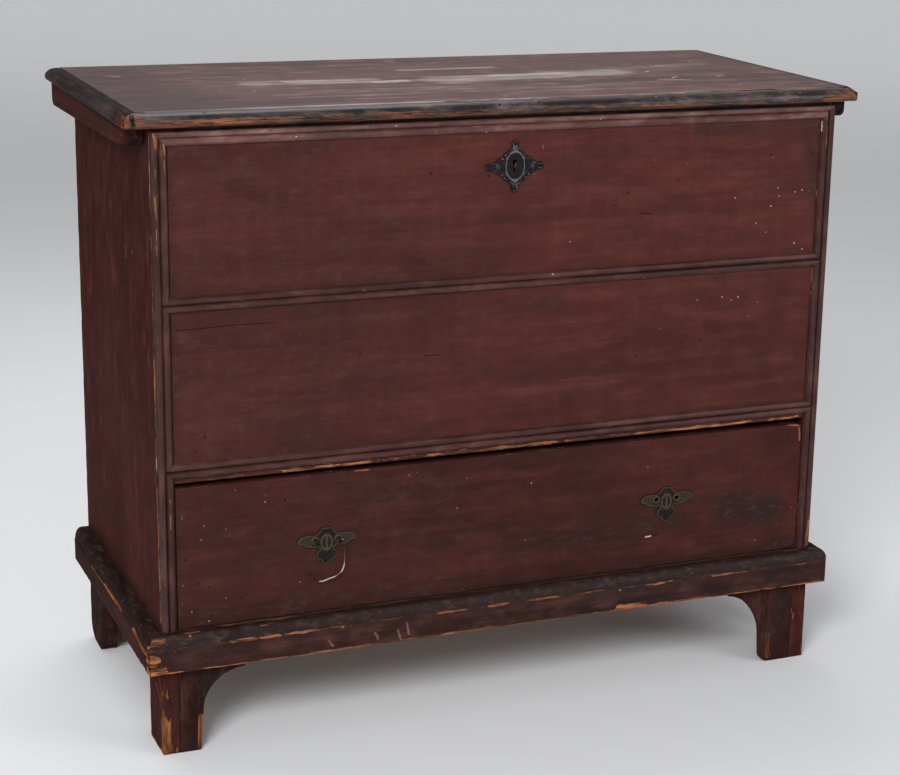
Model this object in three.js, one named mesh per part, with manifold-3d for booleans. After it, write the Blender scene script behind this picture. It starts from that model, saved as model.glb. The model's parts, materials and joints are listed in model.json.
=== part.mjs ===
// Mule chest in old red paint: a lift lid over a deep well and one long drawer below it.
// Applied double-arch mouldings make the front look like three drawers over a moulded base.
// Millimetres, +Z up, the front towards -Y, the origin on the floor under the middle of the lid.
// Inside the frame group, x runs from the middle of the case and y back from its front plane.
import * as THREE from "three";
import { mergeVertices } from "three/addons/utils/BufferGeometryUtils.js";
import Module from "manifold-3d";

const wasm = await Module();
wasm.setup();

// Case boards
const caseWidth = 1000;
const caseDepth = 457;
const caseHeight = 857;
const sideThickness = 23.5;
const frontThickness = 21;
const backThickness = 16;
const backRabbetDepth = 12;
const wellFloorTop = 404;
const wellFloorThickness = 16;
const wellFloorDado = 8;
const frontBoardBottom = 385;
const backJointRise = 26;

// Base and feet
const footHeight = 126.5;
const railHeight = 51.5;
const railThickness = 22;
const baseProjection = 21.5;
const baseFaceHeight = 34.5;
const baseFilletStep = 1;
const baseTopLedge = 11;
const baseEase = 1.5;
const sideFootFront = 71;
const sideFootRear = 74;
const sideArchRadius = 34;
const sideArchDrop = 2.5;
const rearFootWear = 30;
const bracketThickness = 12;
const leftFootBottom = 53;
const leftFootSpring = 57;
const leftFootWear = 3;
const leftBracketReach = 116;
const leftBracketJoint = 65.5;
const leftSpringHeight = 57;
const leftHollowPower = 2;
const rightFootBottom = 74;
const rightFootSpring = 76;
const rightFootWear = 13;
const rightBracketReach = 134;
const rightSpringHeight = 48;
const rightHollowPower = 1.7;
const bracketArchDrop = 12;
const footBlockWidth = 15;
const footBlockDepth = 48;
const footBlockLift = 10;

// Double-arch moulding
const archWidth = 20.5;
const archEdge = 0.8;
const archQuirk = 1;
const archInset = 1.5;
const archTopReveal = 4.2;
const midMouldingLift = 3.6;
const lowerMouldingTop = 412.5;

// Lid
const lidThickness = 19.2;
const lidLeftOverhang = 17;
const lidRightOverhang = 13.5;
const lidFrontOverhang = 1;
const lidBackOverhang = 11;
const noseWidth = 21.5;
const noseLeftWear = 6;
const noseRightWear = 30;
const noseCrown = 11.5;
const noseUnder = 9;
const quirkWidth = 1.4;
const quirkDepth = 1.3;
const quirkShoulder = 3.6;
const quirkDrop = 0.5;
const cleatInset = 8;
const cleatHeightFront = 27;
const cleatHeightRear = 33;
const cleatFrontSetback = 20;
const cleatRearSetback = 6;
const cleatCorner = 12;

// Drawer
const drawerSideGap = 1;
const drawerTopGap = 7;
const drawerTopTaper = 2.5;
const drawerBottomGap = 2;
const drawerBackGap = 16;
const drawerFrontThickness = 22;
const drawerSideThickness = 14;
const drawerBackThickness = 14;
const drawerBottomThickness = 10;
const drawerBottomRabbet = 10;
const drawerSideDrop = 9;
const drawerWornCorner = 7;
const dovetailCount = 3;
const dovetailLap = 6;
const dovetailFlare = 3.5;
const dovetailShare = 0.62;
const runnerWidth = 26;
const runnerHeight = 32;

// Pulls
const pullPlaceShares = { left: -0.2813, right: 0.2655 };
const pullHeight = 103.5;
const postSpacing = 33;
const postRadius = 2.1;
const postHoleRadius = 2.8;
const postHeadRadius = 3.2;
const postCollarRadius = 3.4;
const postCollarThickness = 1.6;
const postLegLength = 9;
const postLegWidth = 2.6;
const postLegThickness = 1.8;
const plateThickness = 1.6;
const plateHalfWidth = 42.7;
const plateRise = 17.8;
const plateDrop = 36.8;
const bailRadius = 1.15;
const bailEyeRadius = 1.7;
const bailReach = 7.5;
const bailWidth = 47.6;
const bailShoulder = 4;
const bailLongLeg = 33.5;
const bailCornerRun = 11;
const bailCornerDrop = 18.5;
const bailDrop = 57.5;
const bailHookRun = 15;
const bailHookRise = 14;
const bailTail = 1.6;
const bailShoulderShare = 0.27;
const bailCornerShares = [0.4, 0.72];
const bailHookShares = [0.3, 0.25];

// Escutcheon and lock
const escutcheonWidth = 85;
const escutcheonHeight = 71;
const escutcheonThickness = 2.2;
const escutcheonRing = 5.2;
const escutcheonSwellShare = 0.16;
const escutcheonPinHole = 1.5;
const escutcheonDrop = 72;
const keyholeRise = 5.8;
const keyholeRadius = 3.6;
const keyholeSlot = 5.2;
const keyholeLength = 17;
const keyholeRoom = 0.6;
const lockWidth = 96;
const lockHeight = 96;
const lockDepth = 18;
const lockWall = 2;
const lockTopDrop = 2;
const boltLength = 41;
const boltThickness = 4;
const boltHeadHeight = 6.5;
const boltHeadLength = 18;
const boltTailHeight = 15;
const boltTalonWidth = 10;
const boltTalonDepth = 7;
const boltDrop = 7;
const boltFromRearWall = 4.5;
const boltStart = 4;
const staplePlateLength = 46;
const staplePlateWidth = 15;
const staplePlateThickness = 2;
const stapleThickness = 5;
const stapleWall = 2;
const stapleRoom = 0.7;
const stapleSlotRoom = 1.6;

// Lid hinges
const hingeFromEnd = 205;
const hingeWidth = 38;
const hingeThickness = 2.5;
const hingeBarrelRadius = 4.5;
const hingePinRadius = 2;
const hingePinHead = 1.5;
const hingePinHeadRadius = 3.2;
const hingeKnuckleShare = 0.32;
const strapLength = 190;
const strapTipWidth = 20;
const leafLength = 70;

// Fits
const joinGap = 0.3;
const runningGap = 0.5;
const seatGap = 0.3;
const cleatGap = 1;
const overrun = 6;
const arcSteps = 10;
const roundSides = 16;

// Heights and places that follow from these
const innerHalf = caseWidth / 2 - sideThickness;
const halfWidth = caseWidth / 2;
const railTop = footHeight + railHeight;
const backFace = caseDepth - backThickness;
const backJointHeight = wellFloorTop + backJointRise;
const archTop = caseHeight - archTopReveal;
const archOuter = halfWidth - archInset;
const archInner = archOuter - archWidth;
const lidUnderside = caseHeight + seatGap;
const lidTop = lidUnderside + lidThickness;
const lidEnd = (hand) => (hand < 0 ? -halfWidth - lidLeftOverhang : halfWidth + lidRightOverhang);
const lidFront = -lidFrontOverhang;
const lidBack = caseDepth + lidBackOverhang;
const caseMiddle = (lidLeftOverhang - lidRightOverhang) / 2;
const frontPlane = (noseWidth + lidFrontOverhang - lidBack) / 2;
const drawerHalf = innerHalf - drawerSideGap;
const drawerLow = railTop + drawerBottomGap;
const drawerHigh = frontBoardBottom - drawerTopGap;
const drawerFloorTop = drawerLow + drawerBottomThickness;
const drawerRear = backFace - drawerBackGap;
const drawerSideTop = drawerHigh - drawerSideDrop;
const escutcheonMiddle = caseHeight - escutcheonDrop;
const keyholeHeight = escutcheonMiddle + keyholeRise;
const pullLine = drawerLow + pullHeight;
const hingeAxisY = caseDepth + hingeBarrelRadius + seatGap;
const hingeAxisZ = lidUnderside - hingeBarrelRadius - seatGap;

// A closed mesh as a solid, and back again as a named mesh.
function solidOf(geometry) {
  const bare = geometry.clone();
  bare.deleteAttribute("normal");
  bare.deleteAttribute("uv");
  const merged = mergeVertices(bare);
  return new wasm.Manifold(
    new wasm.Mesh({
      numProp: 3,
      vertProperties: merged.attributes.position.array,
      triVerts: new Uint32Array(merged.index.array),
    }),
  );
}

function meshOf(name, solid, material) {
  const data = solid.getMesh();
  const geometry = new THREE.BufferGeometry();
  geometry.setAttribute("position", new THREE.BufferAttribute(data.vertProperties, 3));
  geometry.setIndex(new THREE.BufferAttribute(data.triVerts, 1));
  const mesh = new THREE.Mesh(geometry, material);
  mesh.name = name;
  return mesh;
}

// Finishes: old red paint, dark worn paint, bare wood, cast plate metal, brass and wrought iron.
const finish = (color, roughness, metalness) =>
  new THREE.MeshStandardMaterial({ color, roughness, metalness, flatShading: true });
const redPaint = () => finish(0x5b302c, 0.62, 0);
const darkPaint = () => finish(0x3c3431, 0.6, 0);
const bareWood = () => finish(0x9a6f45, 0.8, 0);
const plateMetal = () => finish(0x4a5054, 0.45, 0.9);
const brass = () => finish(0x5a5442, 0.5, 0.9);
const wireMetal = () => finish(0x9c9484, 0.35, 0.95);
const iron = () => finish(0x2e2b29, 0.6, 0.9);

// Directions in which an outline is drawn out: its own two axes and the way it is extruded.
const drawn = {
  x: new THREE.Matrix4().makeBasis(
    new THREE.Vector3(0, 1, 0),
    new THREE.Vector3(0, 0, 1),
    new THREE.Vector3(1, 0, 0),
  ),
  y: new THREE.Matrix4().makeBasis(
    new THREE.Vector3(1, 0, 0),
    new THREE.Vector3(0, 0, 1),
    new THREE.Vector3(0, -1, 0),
  ),
  z: new THREE.Matrix4(),
};

const toVectors = (points) => points.map(([a, b]) => new THREE.Vector2(a, b));

// An outline drawn out along x (points are y, z), y (x, z) or z (x, y), between two places.
function prism(points, axis, from, to, holes = []) {
  const shape = new THREE.Shape(toVectors(points));
  for (const hole of holes) shape.holes.push(new THREE.Path(toVectors(hole)));
  const geometry = new THREE.ExtrudeGeometry(shape, { depth: to - from, bevelEnabled: false });
  geometry.applyMatrix4(drawn[axis]);
  const shift = { x: [from, 0, 0], y: [0, to, 0], z: [0, 0, from] }[axis];
  geometry.translate(...shift);
  return solidOf(geometry);
}

function block(x0, x1, y0, y1, z0, z1) {
  const geometry = new THREE.BoxGeometry(x1 - x0, y1 - y0, z1 - z0);
  geometry.translate((x0 + x1) / 2, (y0 + y1) / 2, (z0 + z1) / 2);
  return solidOf(geometry);
}

// A round bar along one axis, centred on (a, b) of the other two, as prism takes them.
function bar(a, b, radius, axis, from, to) {
  return prism(circle(a, b, radius), axis, from, to);
}

function arc(cx, cy, rx, ry, from, to, steps = arcSteps) {
  const curve = new THREE.EllipseCurve(cx, cy, rx, ry, from, to, to < from);
  return curve.getPoints(steps).map((p) => [p.x, p.y]);
}

function circle(cx, cy, radius, sides = roundSides) {
  return arc(cx, cy, radius, radius, 0, 2 * Math.PI, sides).slice(0, sides);
}

// Points after p on the arc from p to q, which swells to its left by a share of its length.
function swell(p, q, share, steps = 4) {
  const points = [];
  const along = [q[0] - p[0], q[1] - p[1]];
  for (let i = 1; i <= steps; i++) {
    const t = i / steps;
    const rise = 4 * share * t * (1 - t);
    points.push([p[0] + along[0] * t - along[1] * rise, p[1] + along[1] * t + along[0] * rise]);
  }
  return points;
}

const mirrored = (points) => points.map(([a, b]) => [-a, b]).reverse();

// Side boards: the feet are the lower ends of the boards, with an arch sawn out between them.
function sideBoard(hand) {
  const archHigh = footHeight - sideArchDrop;
  const spring = archHigh - sideArchRadius;
  const rear = caseDepth - sideFootRear;
  const outline = [
    [0, 0],
    [sideFootFront, 0],
    ...arc(sideFootFront + sideArchRadius, spring, sideArchRadius, sideArchRadius, Math.PI, Math.PI / 2),
    ...arc(rear - sideArchRadius, spring, sideArchRadius, sideArchRadius, Math.PI / 2, 0),
    [rear, 0],
    ...arc(caseDepth - rearFootWear, rearFootWear, rearFootWear, rearFootWear, -Math.PI / 2, 0),
    [caseDepth, caseHeight],
    [0, caseHeight],
  ];
  const outer = hand * halfWidth;
  const inner = hand * innerHalf;
  const board = prism(outline, "x", Math.min(outer, inner), Math.max(outer, inner));
  const rabbet = hand * (innerHalf + backRabbetDepth);
  const past = hand * (innerHalf - overrun);
  const back = [backFace, caseDepth + overrun, footHeight, caseHeight + overrun];
  const dado = hand * (innerHalf + wellFloorDado);
  const floor = [frontThickness, backFace, wellFloorTop - wellFloorThickness, wellFloorTop];
  return board
    .subtract(block(Math.min(past, rabbet), Math.max(past, rabbet), ...back))
    .subtract(block(Math.min(past, dado), Math.max(past, dado), ...floor));
}

// The keyhole: a round hole with a slot below it, alike in the plate and the board.
function keyholeOutline(room) {
  const radius = keyholeRadius + room;
  const half = keyholeSlot / 2 + room;
  const lean = Math.asin(half / radius);
  const low = keyholeHeight - keyholeLength + keyholeRadius - room;
  return [
    ...arc(0, keyholeHeight, radius, radius, lean - Math.PI / 2, 1.5 * Math.PI - lean, roundSides),
    [-half, low],
    [half, low],
  ];
}

function frontBoard() {
  const hole = keyholeOutline(keyholeRoom);
  return block(-innerHalf, innerHalf, 0, frontThickness, frontBoardBottom, caseHeight).subtract(
    prism(hole, "y", -overrun, frontThickness + overrun),
  );
}

function backBoard(low, high) {
  const half = innerHalf + backRabbetDepth;
  return block(-half, half, backFace, caseDepth, low, high);
}

const hingePlaces = () => [hingeFromEnd - halfWidth, halfWidth - hingeFromEnd];

// The upper back board is notched where the straps pass over it.
function backBoardUpper() {
  let board = backBoard(backJointHeight, caseHeight);
  const half = hingeWidth / 2 + runningGap;
  const heights = [lidUnderside - hingeThickness - seatGap, caseHeight + overrun];
  for (const x of hingePlaces()) {
    board = board.subtract(
      block(x - half, x + half, backFace - overrun, caseDepth + overrun, ...heights),
    );
  }
  return board;
}

function wellFloor() {
  const half = innerHalf + wellFloorDado;
  return block(-half, half, frontThickness, backFace, wellFloorTop - wellFloorThickness, wellFloorTop);
}

const baseRail = () => block(-innerHalf, innerHalf, 0, railThickness, footHeight, railTop);

function drawerRunner(hand) {
  const ends = [hand * innerHalf, hand * (innerHalf - runnerWidth)].sort((a, b) => a - b);
  const high = drawerLow - seatGap;
  return block(...ends, railThickness, backFace, high - runnerHeight, high);
}

// Double-arch moulding: two half-round beads, as (across, rise) from its upper or outer edge.
function archProfile() {
  const radius = (archWidth - archQuirk) / 4;
  const first = archQuirk / 4 + radius;
  const second = archWidth - first;
  return [
    [0, 0],
    [0, archEdge],
    ...arc(first, archEdge, radius, radius, Math.PI, 0),
    ...arc(second, archEdge, radius, radius, Math.PI, 0),
    [archWidth, archEdge],
    [archWidth, 0],
  ];
}

const mitreSlip = joinGap / Math.SQRT2;

// A level moulding whose ends, seen from the front, follow an outline.
function levelMoulding(top, outline) {
  const profile = archProfile().map(([across, rise]) => [-rise, top - across]);
  const run = prism(profile, "x", -halfWidth, halfWidth);
  return run.intersect(prism(outline, "y", -archWidth, overrun));
}

function topMoulding() {
  const low = archTop - archWidth;
  return levelMoulding(archTop, [
    [-archOuter + mitreSlip, archTop],
    [archOuter - mitreSlip, archTop],
    [archInner - mitreSlip, low],
    [-archInner + mitreSlip, low],
  ]);
}

// The point of a level moulding reaches the quirk of the upright one.
function pointedOutline(top, grow) {
  const middle = top - archWidth / 2;
  const tip = archInner + archWidth / 2 + grow;
  const base = archInner + grow;
  const half = archWidth / 2;
  return [
    [-base, middle - half],
    [base, middle - half],
    [tip, middle],
    [base, middle + half],
    [-base, middle + half],
    [-tip, middle],
  ];
}

const pointedMoulding = (top) => levelMoulding(top, pointedOutline(top, 0));

const midMouldingTop = (archTop + lowerMouldingTop) / 2 + midMouldingLift;

function uprightMoulding(hand) {
  const profile = archProfile().map(([across, rise]) => [hand * (archOuter - across), -rise]);
  const outline = [
    [hand * archOuter, railTop],
    [hand * archInner, railTop],
    [hand * archInner, archTop - archWidth - mitreSlip],
    [hand * archOuter, archTop - mitreSlip],
  ];
  let run = prism(profile, "z", railTop, archTop).intersect(prism(outline, "y", -archWidth, overrun));
  for (const top of [midMouldingTop, lowerMouldingTop]) {
    run = run.subtract(prism(pointedOutline(top, joinGap * Math.SQRT2), "y", -archWidth, overrun));
  }
  return run;
}

// Base moulding, as (projection, height over its underside): a flat face, a fillet and a quarter round.
function baseProfile() {
  const reach = baseProjection - baseFilletStep;
  const roundHeight = railHeight - baseFaceHeight - baseFilletStep;
  return [
    [0, 0],
    [baseProjection - baseEase, 0],
    [baseProjection, baseEase],
    [baseProjection, baseFaceHeight],
    [reach, baseFaceHeight + baseFilletStep],
    ...arc(baseTopLedge, railHeight - roundHeight, reach - baseTopLedge, roundHeight, 0, Math.PI / 2),
    [0, railHeight],
  ];
}

function baseFront() {
  const profile = baseProfile().map(([out, up]) => [-out, footHeight + up]);
  const reach = halfWidth + baseProjection;
  const plan = [
    [-reach + mitreSlip, -baseProjection],
    [reach - mitreSlip, -baseProjection],
    [halfWidth - mitreSlip, 0],
    [-halfWidth + mitreSlip, 0],
  ];
  return prism(profile, "x", -reach, reach).intersect(prism(plan, "z", 0, caseHeight));
}

function baseSide(hand) {
  const profile = baseProfile().map(([out, up]) => [hand * (halfWidth + out), footHeight + up]);
  const plan = [
    [hand * halfWidth, mitreSlip],
    [hand * (halfWidth + baseProjection), mitreSlip - baseProjection],
    [hand * (halfWidth + baseProjection), caseDepth],
    [hand * halfWidth, caseDepth],
  ];
  return prism(profile, "y", -baseProjection, caseDepth).intersect(prism(plan, "z", 0, caseHeight));
}

// Front brackets between the feet of the side boards and the rail, hollowed by a quarter round.
// A power of 2 makes the hollow a true ellipse, and a smaller one flattens it.
function bracketOutline(bottom, wear, spring, springHeight, reach, power) {
  const rise = footHeight - bracketArchDrop - springHeight;
  const hollow = arc(0, 0, 1, 1, 0, Math.PI / 2).map(([a, b]) => [
    reach - (reach - spring) * Math.abs(a) ** (2 / power),
    springHeight + rise * b ** (2 / power),
  ]);
  return [
    [sideThickness, 0],
    ...arc(bottom - wear, wear, wear, wear, -Math.PI / 2, 0, 5),
    ...hollow,
    [reach, footHeight],
    [sideThickness, footHeight],
  ];
}

function leftBracket(from, to) {
  const outline = bracketOutline(
    leftFootBottom,
    leftFootWear,
    leftFootSpring,
    leftSpringHeight,
    leftBracketReach,
    leftHollowPower,
  );
  const whole = prism(outline.map(([out, up]) => [out - halfWidth, up]), "y", 0, bracketThickness);
  const kept = block(from - halfWidth, to - halfWidth, -overrun, bracketThickness + overrun, 0, footHeight);
  return whole.intersect(kept);
}

function rightBracket() {
  const outline = bracketOutline(
    rightFootBottom,
    rightFootWear,
    rightFootSpring,
    rightSpringHeight,
    rightBracketReach,
    rightHollowPower,
  );
  return prism(outline.map(([out, up]) => [halfWidth - out, up]), "y", 0, bracketThickness);
}

function footBlock(hand) {
  const ends = [hand * innerHalf, hand * (innerHalf - footBlockWidth)].sort((a, b) => a - b);
  const rear = caseDepth - sideFootRear;
  return block(...ends, rear, rear + footBlockDepth, footBlockLift, footHeight);
}

// Lid: a board with applied nosings on three edges, and battens under its ends.
const lidBoard = () => block(lidEnd(-1), lidEnd(1), lidFront, lidBack, lidUnderside, lidTop);

// Nosing, as (out from the board, down from the top): a quirk, then a thumbnail round.
function noseProfile() {
  const crownLow = quirkDrop + noseCrown;
  const nose = noseWidth - quirkShoulder - quirkWidth;
  const under = lidThickness - crownLow;
  return [
    [0, lidThickness],
    [0, quirkDepth],
    [quirkWidth, quirkDepth],
    [quirkWidth, quirkDrop],
    ...arc(noseWidth - nose, crownLow, nose, noseCrown, -Math.PI / 2, 0),
    ...arc(noseWidth - noseUnder, crownLow, noseUnder, under, 0, Math.PI / 2).slice(1),
  ];
}

// The front corners of the lid are worn round, the right one most.
function wornLidPlan() {
  const left = lidEnd(-1) - noseWidth;
  const right = lidEnd(1) + noseWidth;
  const front = lidFront - noseWidth;
  const wornLeft = noseLeftWear;
  const wornRight = noseRightWear;
  const outline = [
    ...arc(left + wornLeft, front + wornLeft, wornLeft, wornLeft, Math.PI, 1.5 * Math.PI, 5),
    ...arc(right - wornRight, front + wornRight, wornRight, wornRight, -Math.PI / 2, 0),
    [right, lidBack],
    [left, lidBack],
  ];
  return prism(outline, "z", 0, lidTop + overrun);
}

function noseFront() {
  const profile = noseProfile().map(([out, down]) => [lidFront - out, lidTop - down]);
  const left = lidEnd(-1);
  const right = lidEnd(1);
  const plan = [
    [left - noseWidth + mitreSlip, lidFront - noseWidth],
    [right + noseWidth - mitreSlip, lidFront - noseWidth],
    [right - mitreSlip, lidFront],
    [left + mitreSlip, lidFront],
  ];
  return prism(profile, "x", left - noseWidth, right + noseWidth)
    .intersect(prism(plan, "z", 0, lidTop + overrun))
    .intersect(wornLidPlan());
}

function noseSide(hand) {
  const end = lidEnd(hand);
  const tip = end + hand * noseWidth;
  const profile = noseProfile().map(([out, down]) => [end + hand * out, lidTop - down]);
  const plan = [
    [end, lidFront + mitreSlip],
    [tip, lidFront - noseWidth + mitreSlip],
    [tip, lidBack],
    [end, lidBack],
  ];
  return prism(profile, "y", lidFront - noseWidth, lidBack)
    .intersect(prism(plan, "z", 0, lidTop + overrun))
    .intersect(wornLidPlan());
}

// The battens taper towards the front and have rounded lower corners.
function cleat(hand) {
  const front = lidFront + cleatFrontSetback;
  const rear = lidBack - cleatRearSetback;
  const lowFront = lidUnderside - cleatHeightFront;
  const lowRear = lidUnderside - cleatHeightRear;
  const outline = [
    [front, lidUnderside],
    ...arc(front + cleatCorner, lowFront + cleatCorner, cleatCorner, cleatCorner, Math.PI, 1.5 * Math.PI),
    ...arc(rear - cleatCorner, lowRear + cleatCorner, cleatCorner, cleatCorner, -Math.PI / 2, 0),
    [rear, lidUnderside],
  ];
  const near = hand * (halfWidth + cleatGap);
  const far = lidEnd(hand) + hand * (noseWidth - cleatInset);
  return prism(outline, "x", Math.min(near, far), Math.max(near, far));
}

// Drawer. The sides have half-blind dovetails that seat in sockets in the ends of the front.
function tails(grow) {
  const height = drawerSideTop - drawerFloorTop;
  const pitch = height / dovetailCount;
  const front = dovetailLap - grow;
  const root = drawerFrontThickness;
  const outlines = [];
  for (let i = 0; i < dovetailCount; i++) {
    const middle = drawerFloorTop + pitch * (i + 1 / 2);
    const half = (pitch * dovetailShare) / 2 + grow;
    outlines.push([
      [front, middle - half],
      [front, middle + half],
      [root, middle + half - dovetailFlare],
      [root, middle - half + dovetailFlare],
    ]);
  }
  return outlines;
}

function drawerSide(hand) {
  const outer = hand * drawerHalf;
  const inner = hand * (drawerHalf - drawerSideThickness);
  const ends = [Math.min(outer, inner), Math.max(outer, inner)];
  let side = block(...ends, drawerFrontThickness, drawerRear, drawerFloorTop, drawerSideTop);
  for (const outline of tails(-joinGap)) {
    const rooted = outline.map(([y, z]) => [y === drawerFrontThickness ? y + overrun : y, z]);
    side = side.add(prism(rooted, "x", ...ends));
  }
  return side;
}

function postPlaces(hand) {
  const middle = 2 * drawerHalf * (hand < 0 ? pullPlaceShares.left : pullPlaceShares.right);
  return [middle - postSpacing / 2, middle + postSpacing / 2];
}

// The front tapers to the right, where its top corner is worn round. It has sockets for the tails
// and a rabbet for the bottom.
function drawerFront() {
  const worn = drawerWornCorner;
  const outline = [
    [-drawerHalf, drawerLow],
    [drawerHalf, drawerLow],
    ...arc(drawerHalf - worn, drawerHigh - drawerTopTaper - worn, worn, worn, 0, Math.PI / 2),
    [-drawerHalf, drawerHigh],
  ];
  let front = prism(outline, "y", 0, drawerFrontThickness);
  for (const hand of [-1, 1]) {
    const near = hand * (drawerHalf - drawerSideThickness);
    const far = hand * (drawerHalf + overrun);
    for (const socket of tails(0)) {
      const open = socket.map(([y, z]) => [y === drawerFrontThickness ? y + overrun : y, z]);
      front = front.subtract(prism(open, "x", Math.min(near, far), Math.max(near, far)));
    }
    for (const x of postPlaces(hand)) {
      const hole = bar(x, pullLine, postHoleRadius, "y", -overrun, drawerFrontThickness + overrun);
      front = front.subtract(hole);
    }
  }
  const rabbet = drawerFrontThickness - drawerBottomRabbet;
  const past = drawerFrontThickness + overrun;
  const wide = drawerHalf + overrun;
  return front.subtract(block(-wide, wide, rabbet, past, drawerLow - overrun, drawerFloorTop));
}

function drawerBack() {
  const half = drawerHalf - drawerSideThickness;
  return block(-half, half, drawerRear - drawerBackThickness, drawerRear, drawerFloorTop, drawerSideTop);
}

function drawerBottom() {
  const front = drawerFrontThickness - drawerBottomRabbet;
  return block(-drawerHalf, drawerHalf, front, drawerRear, drawerLow, drawerFloorTop);
}

// Bat-wing plate: half of its outline in shares of its half width, its rise and its drop.
const plateCornerShares = [
  [0, 1, 0],
  [0.2, 0.98, 0.08],
  [0.26, 0.7, -0.1],
  [0.5, 0.46, -0.14],
  [0.72, 0.45, 0.12],
  [0.93, 0.22, 0.14],
  [1, -0.02, 0.18],
  [0.93, -0.12, 0.2],
  [0.74, -0.2, -0.12],
  [0.5, -0.27, 0.1],
  [0.32, -0.26, 0.1],
  [0.26, -0.4, -0.2],
  [0.36, -0.53, 0.22],
  [0.32, -0.7, 0.22],
  [0.2, -0.8, 0.2],
  [0, -1, 0.14],
];

function plateOutline() {
  const corners = plateCornerShares.map(([out, up, round]) => [
    out * plateHalfWidth,
    up * (up > 0 ? plateRise : plateDrop),
    round,
  ]);
  const half = [corners[0].slice(0, 2)];
  for (let i = 1; i < corners.length; i++) {
    half.push(...swell(corners[i - 1], corners[i], corners[i][2], 3));
  }
  return [...half, ...mirrored(half).slice(1, -1)];
}

function pullPlate(hand) {
  const places = postPlaces(hand);
  const middle = (places[0] + places[1]) / 2;
  const outline = plateOutline().map(([x, z]) => [x + middle, z + pullLine]);
  const holes = places.map((x) => circle(x, pullLine, postHoleRadius));
  return prism(outline, "y", -plateThickness, 0, holes);
}

// Post: a collar on the plate, a round head pierced for the bail, and a shank whose legs are
// clinched inside.
function pullPost(x) {
  const neck = -plateThickness - seatGap;
  const headCentre = -bailReach;
  const head = new THREE.SphereGeometry(postHeadRadius, roundSides, roundSides / 2);
  head.rotateX(Math.PI / 2);
  head.translate(x, headCentre, pullLine);
  const inside = drawerFrontThickness + seatGap;
  const shank = bar(x, pullLine, postRadius, "y", headCentre, inside + postLegThickness);
  const collar = bar(x, pullLine, postCollarRadius, "y", neck - postCollarThickness, neck);
  const halfLeg = postLegWidth / 2;
  const legs = block(
    x - halfLeg,
    x + halfLeg,
    inside,
    inside + postLegThickness,
    pullLine - postLegLength,
    pullLine + postLegLength,
  );
  const past = postHeadRadius + overrun;
  const eye = bar(headCentre, pullLine, bailEyeRadius, "x", x - past, x + past);
  return solidOf(head).add(shank).add(collar).add(legs).subtract(eye);
}

// Bail: one bent wire. One end passes through the eye of the inner post. The other, bent up like
// a hook, hangs free. Places are measured from the line of the posts.
function bail() {
  const [outerPost, innerPost] = postPlaces(-1);
  const leg = (outerPost + innerPost + bailWidth) / 2;
  const hook = leg - bailWidth;
  const cornerLow = bailLongLeg + bailCornerDrop;
  const bend = bailShoulder * bailShoulderShare;
  const [cornerRunShare, cornerDropShare] = bailCornerShares;
  const [hookRunShare, hookRiseShare] = bailHookShares;
  const stops = [
    [innerPost - postHeadRadius - bailTail, 0],
    [innerPost, 0],
    [leg - bailShoulder, 0],
    [leg - bend, bend],
    [leg, bailShoulder],
    [leg, (bailShoulder + bailLongLeg) / 2],
    [leg, bailLongLeg],
    [leg - bailCornerRun * cornerRunShare, bailLongLeg + bailCornerDrop * cornerDropShare],
    [leg - bailCornerRun, cornerLow],
    [(leg - bailCornerRun + hook + bailHookRun) / 2, (cornerLow + bailDrop) / 2],
    [hook + bailHookRun, bailDrop],
    [hook + bailHookRun * hookRunShare, bailDrop - bailHookRise * hookRiseShare],
    [hook, bailDrop - bailHookRise],
  ];
  const path = new THREE.CatmullRomCurve3(
    stops.map(([x, down]) => new THREE.Vector3(x, -bailReach, pullLine - down)),
    false,
    "centripetal",
  );
  const section = new THREE.Shape(toVectors(circle(0, 0, bailRadius, 8)));
  return solidOf(new THREE.ExtrudeGeometry(section, { steps: 48, extrudePath: path }));
}

// Escutcheon: a quarter of its scalloped outline, in shares of its half width and half height.
const escutcheonCuspShares = [
  [0.1, 0.72],
  [0.21, 0.58],
  [0.36, 0.5],
  [0.42, 0.36],
  [0.57, 0.3],
  [0.65, 0.18],
  [0.8, 0.11],
];

function escutcheonOutline() {
  const halfW = escutcheonWidth / 2;
  const halfH = escutcheonHeight / 2;
  const ring = escutcheonRing;
  const lean = Math.PI / 5;
  const quarter = arc(0, halfH - ring, ring, ring, Math.PI / 2, -lean, arcSteps / 2);
  let last = quarter[quarter.length - 1];
  for (const [a, b] of escutcheonCuspShares) {
    const cusp = [a * halfW, b * halfH];
    quarter.push(...swell(last, cusp, escutcheonSwellShare));
    last = cusp;
  }
  quarter.push(...arc(halfW - ring, 0, ring, ring, Math.PI / 2 + lean, 0, arcSteps / 2));
  const lower = quarter.map(([a, b]) => [a, -b]).reverse();
  const right = [...quarter, ...lower.slice(1)];
  return [...right, ...mirrored(right).slice(1, -1)];
}

function escutcheon() {
  const ringX = escutcheonWidth / 2 - escutcheonRing;
  const ringZ = escutcheonHeight / 2 - escutcheonRing;
  const outline = escutcheonOutline().map(([x, z]) => [x, z + escutcheonMiddle]);
  const pins = [
    [ringX, escutcheonMiddle],
    [-ringX, escutcheonMiddle],
    [0, escutcheonMiddle + ringZ],
    [0, escutcheonMiddle - ringZ],
  ].map(([x, z]) => circle(x, z, escutcheonPinHole, roundSides / 2));
  return prism(outline, "y", -escutcheonThickness, 0, [keyholeOutline(0), ...pins]);
}

// Lock: an iron box against the inner face of the front board, open towards it.
const lockTop = caseHeight - lockTopDrop;
const lockRear = frontThickness + lockDepth;
const boltY = lockRear - lockWall - boltFromRearWall - boltThickness;
const boltTop = lockTop - lockWall - boltDrop;
const stapleHalf = boltThickness / 2 + stapleRoom + stapleWall;
const stapleMiddle = boltY + boltThickness / 2;

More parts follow.
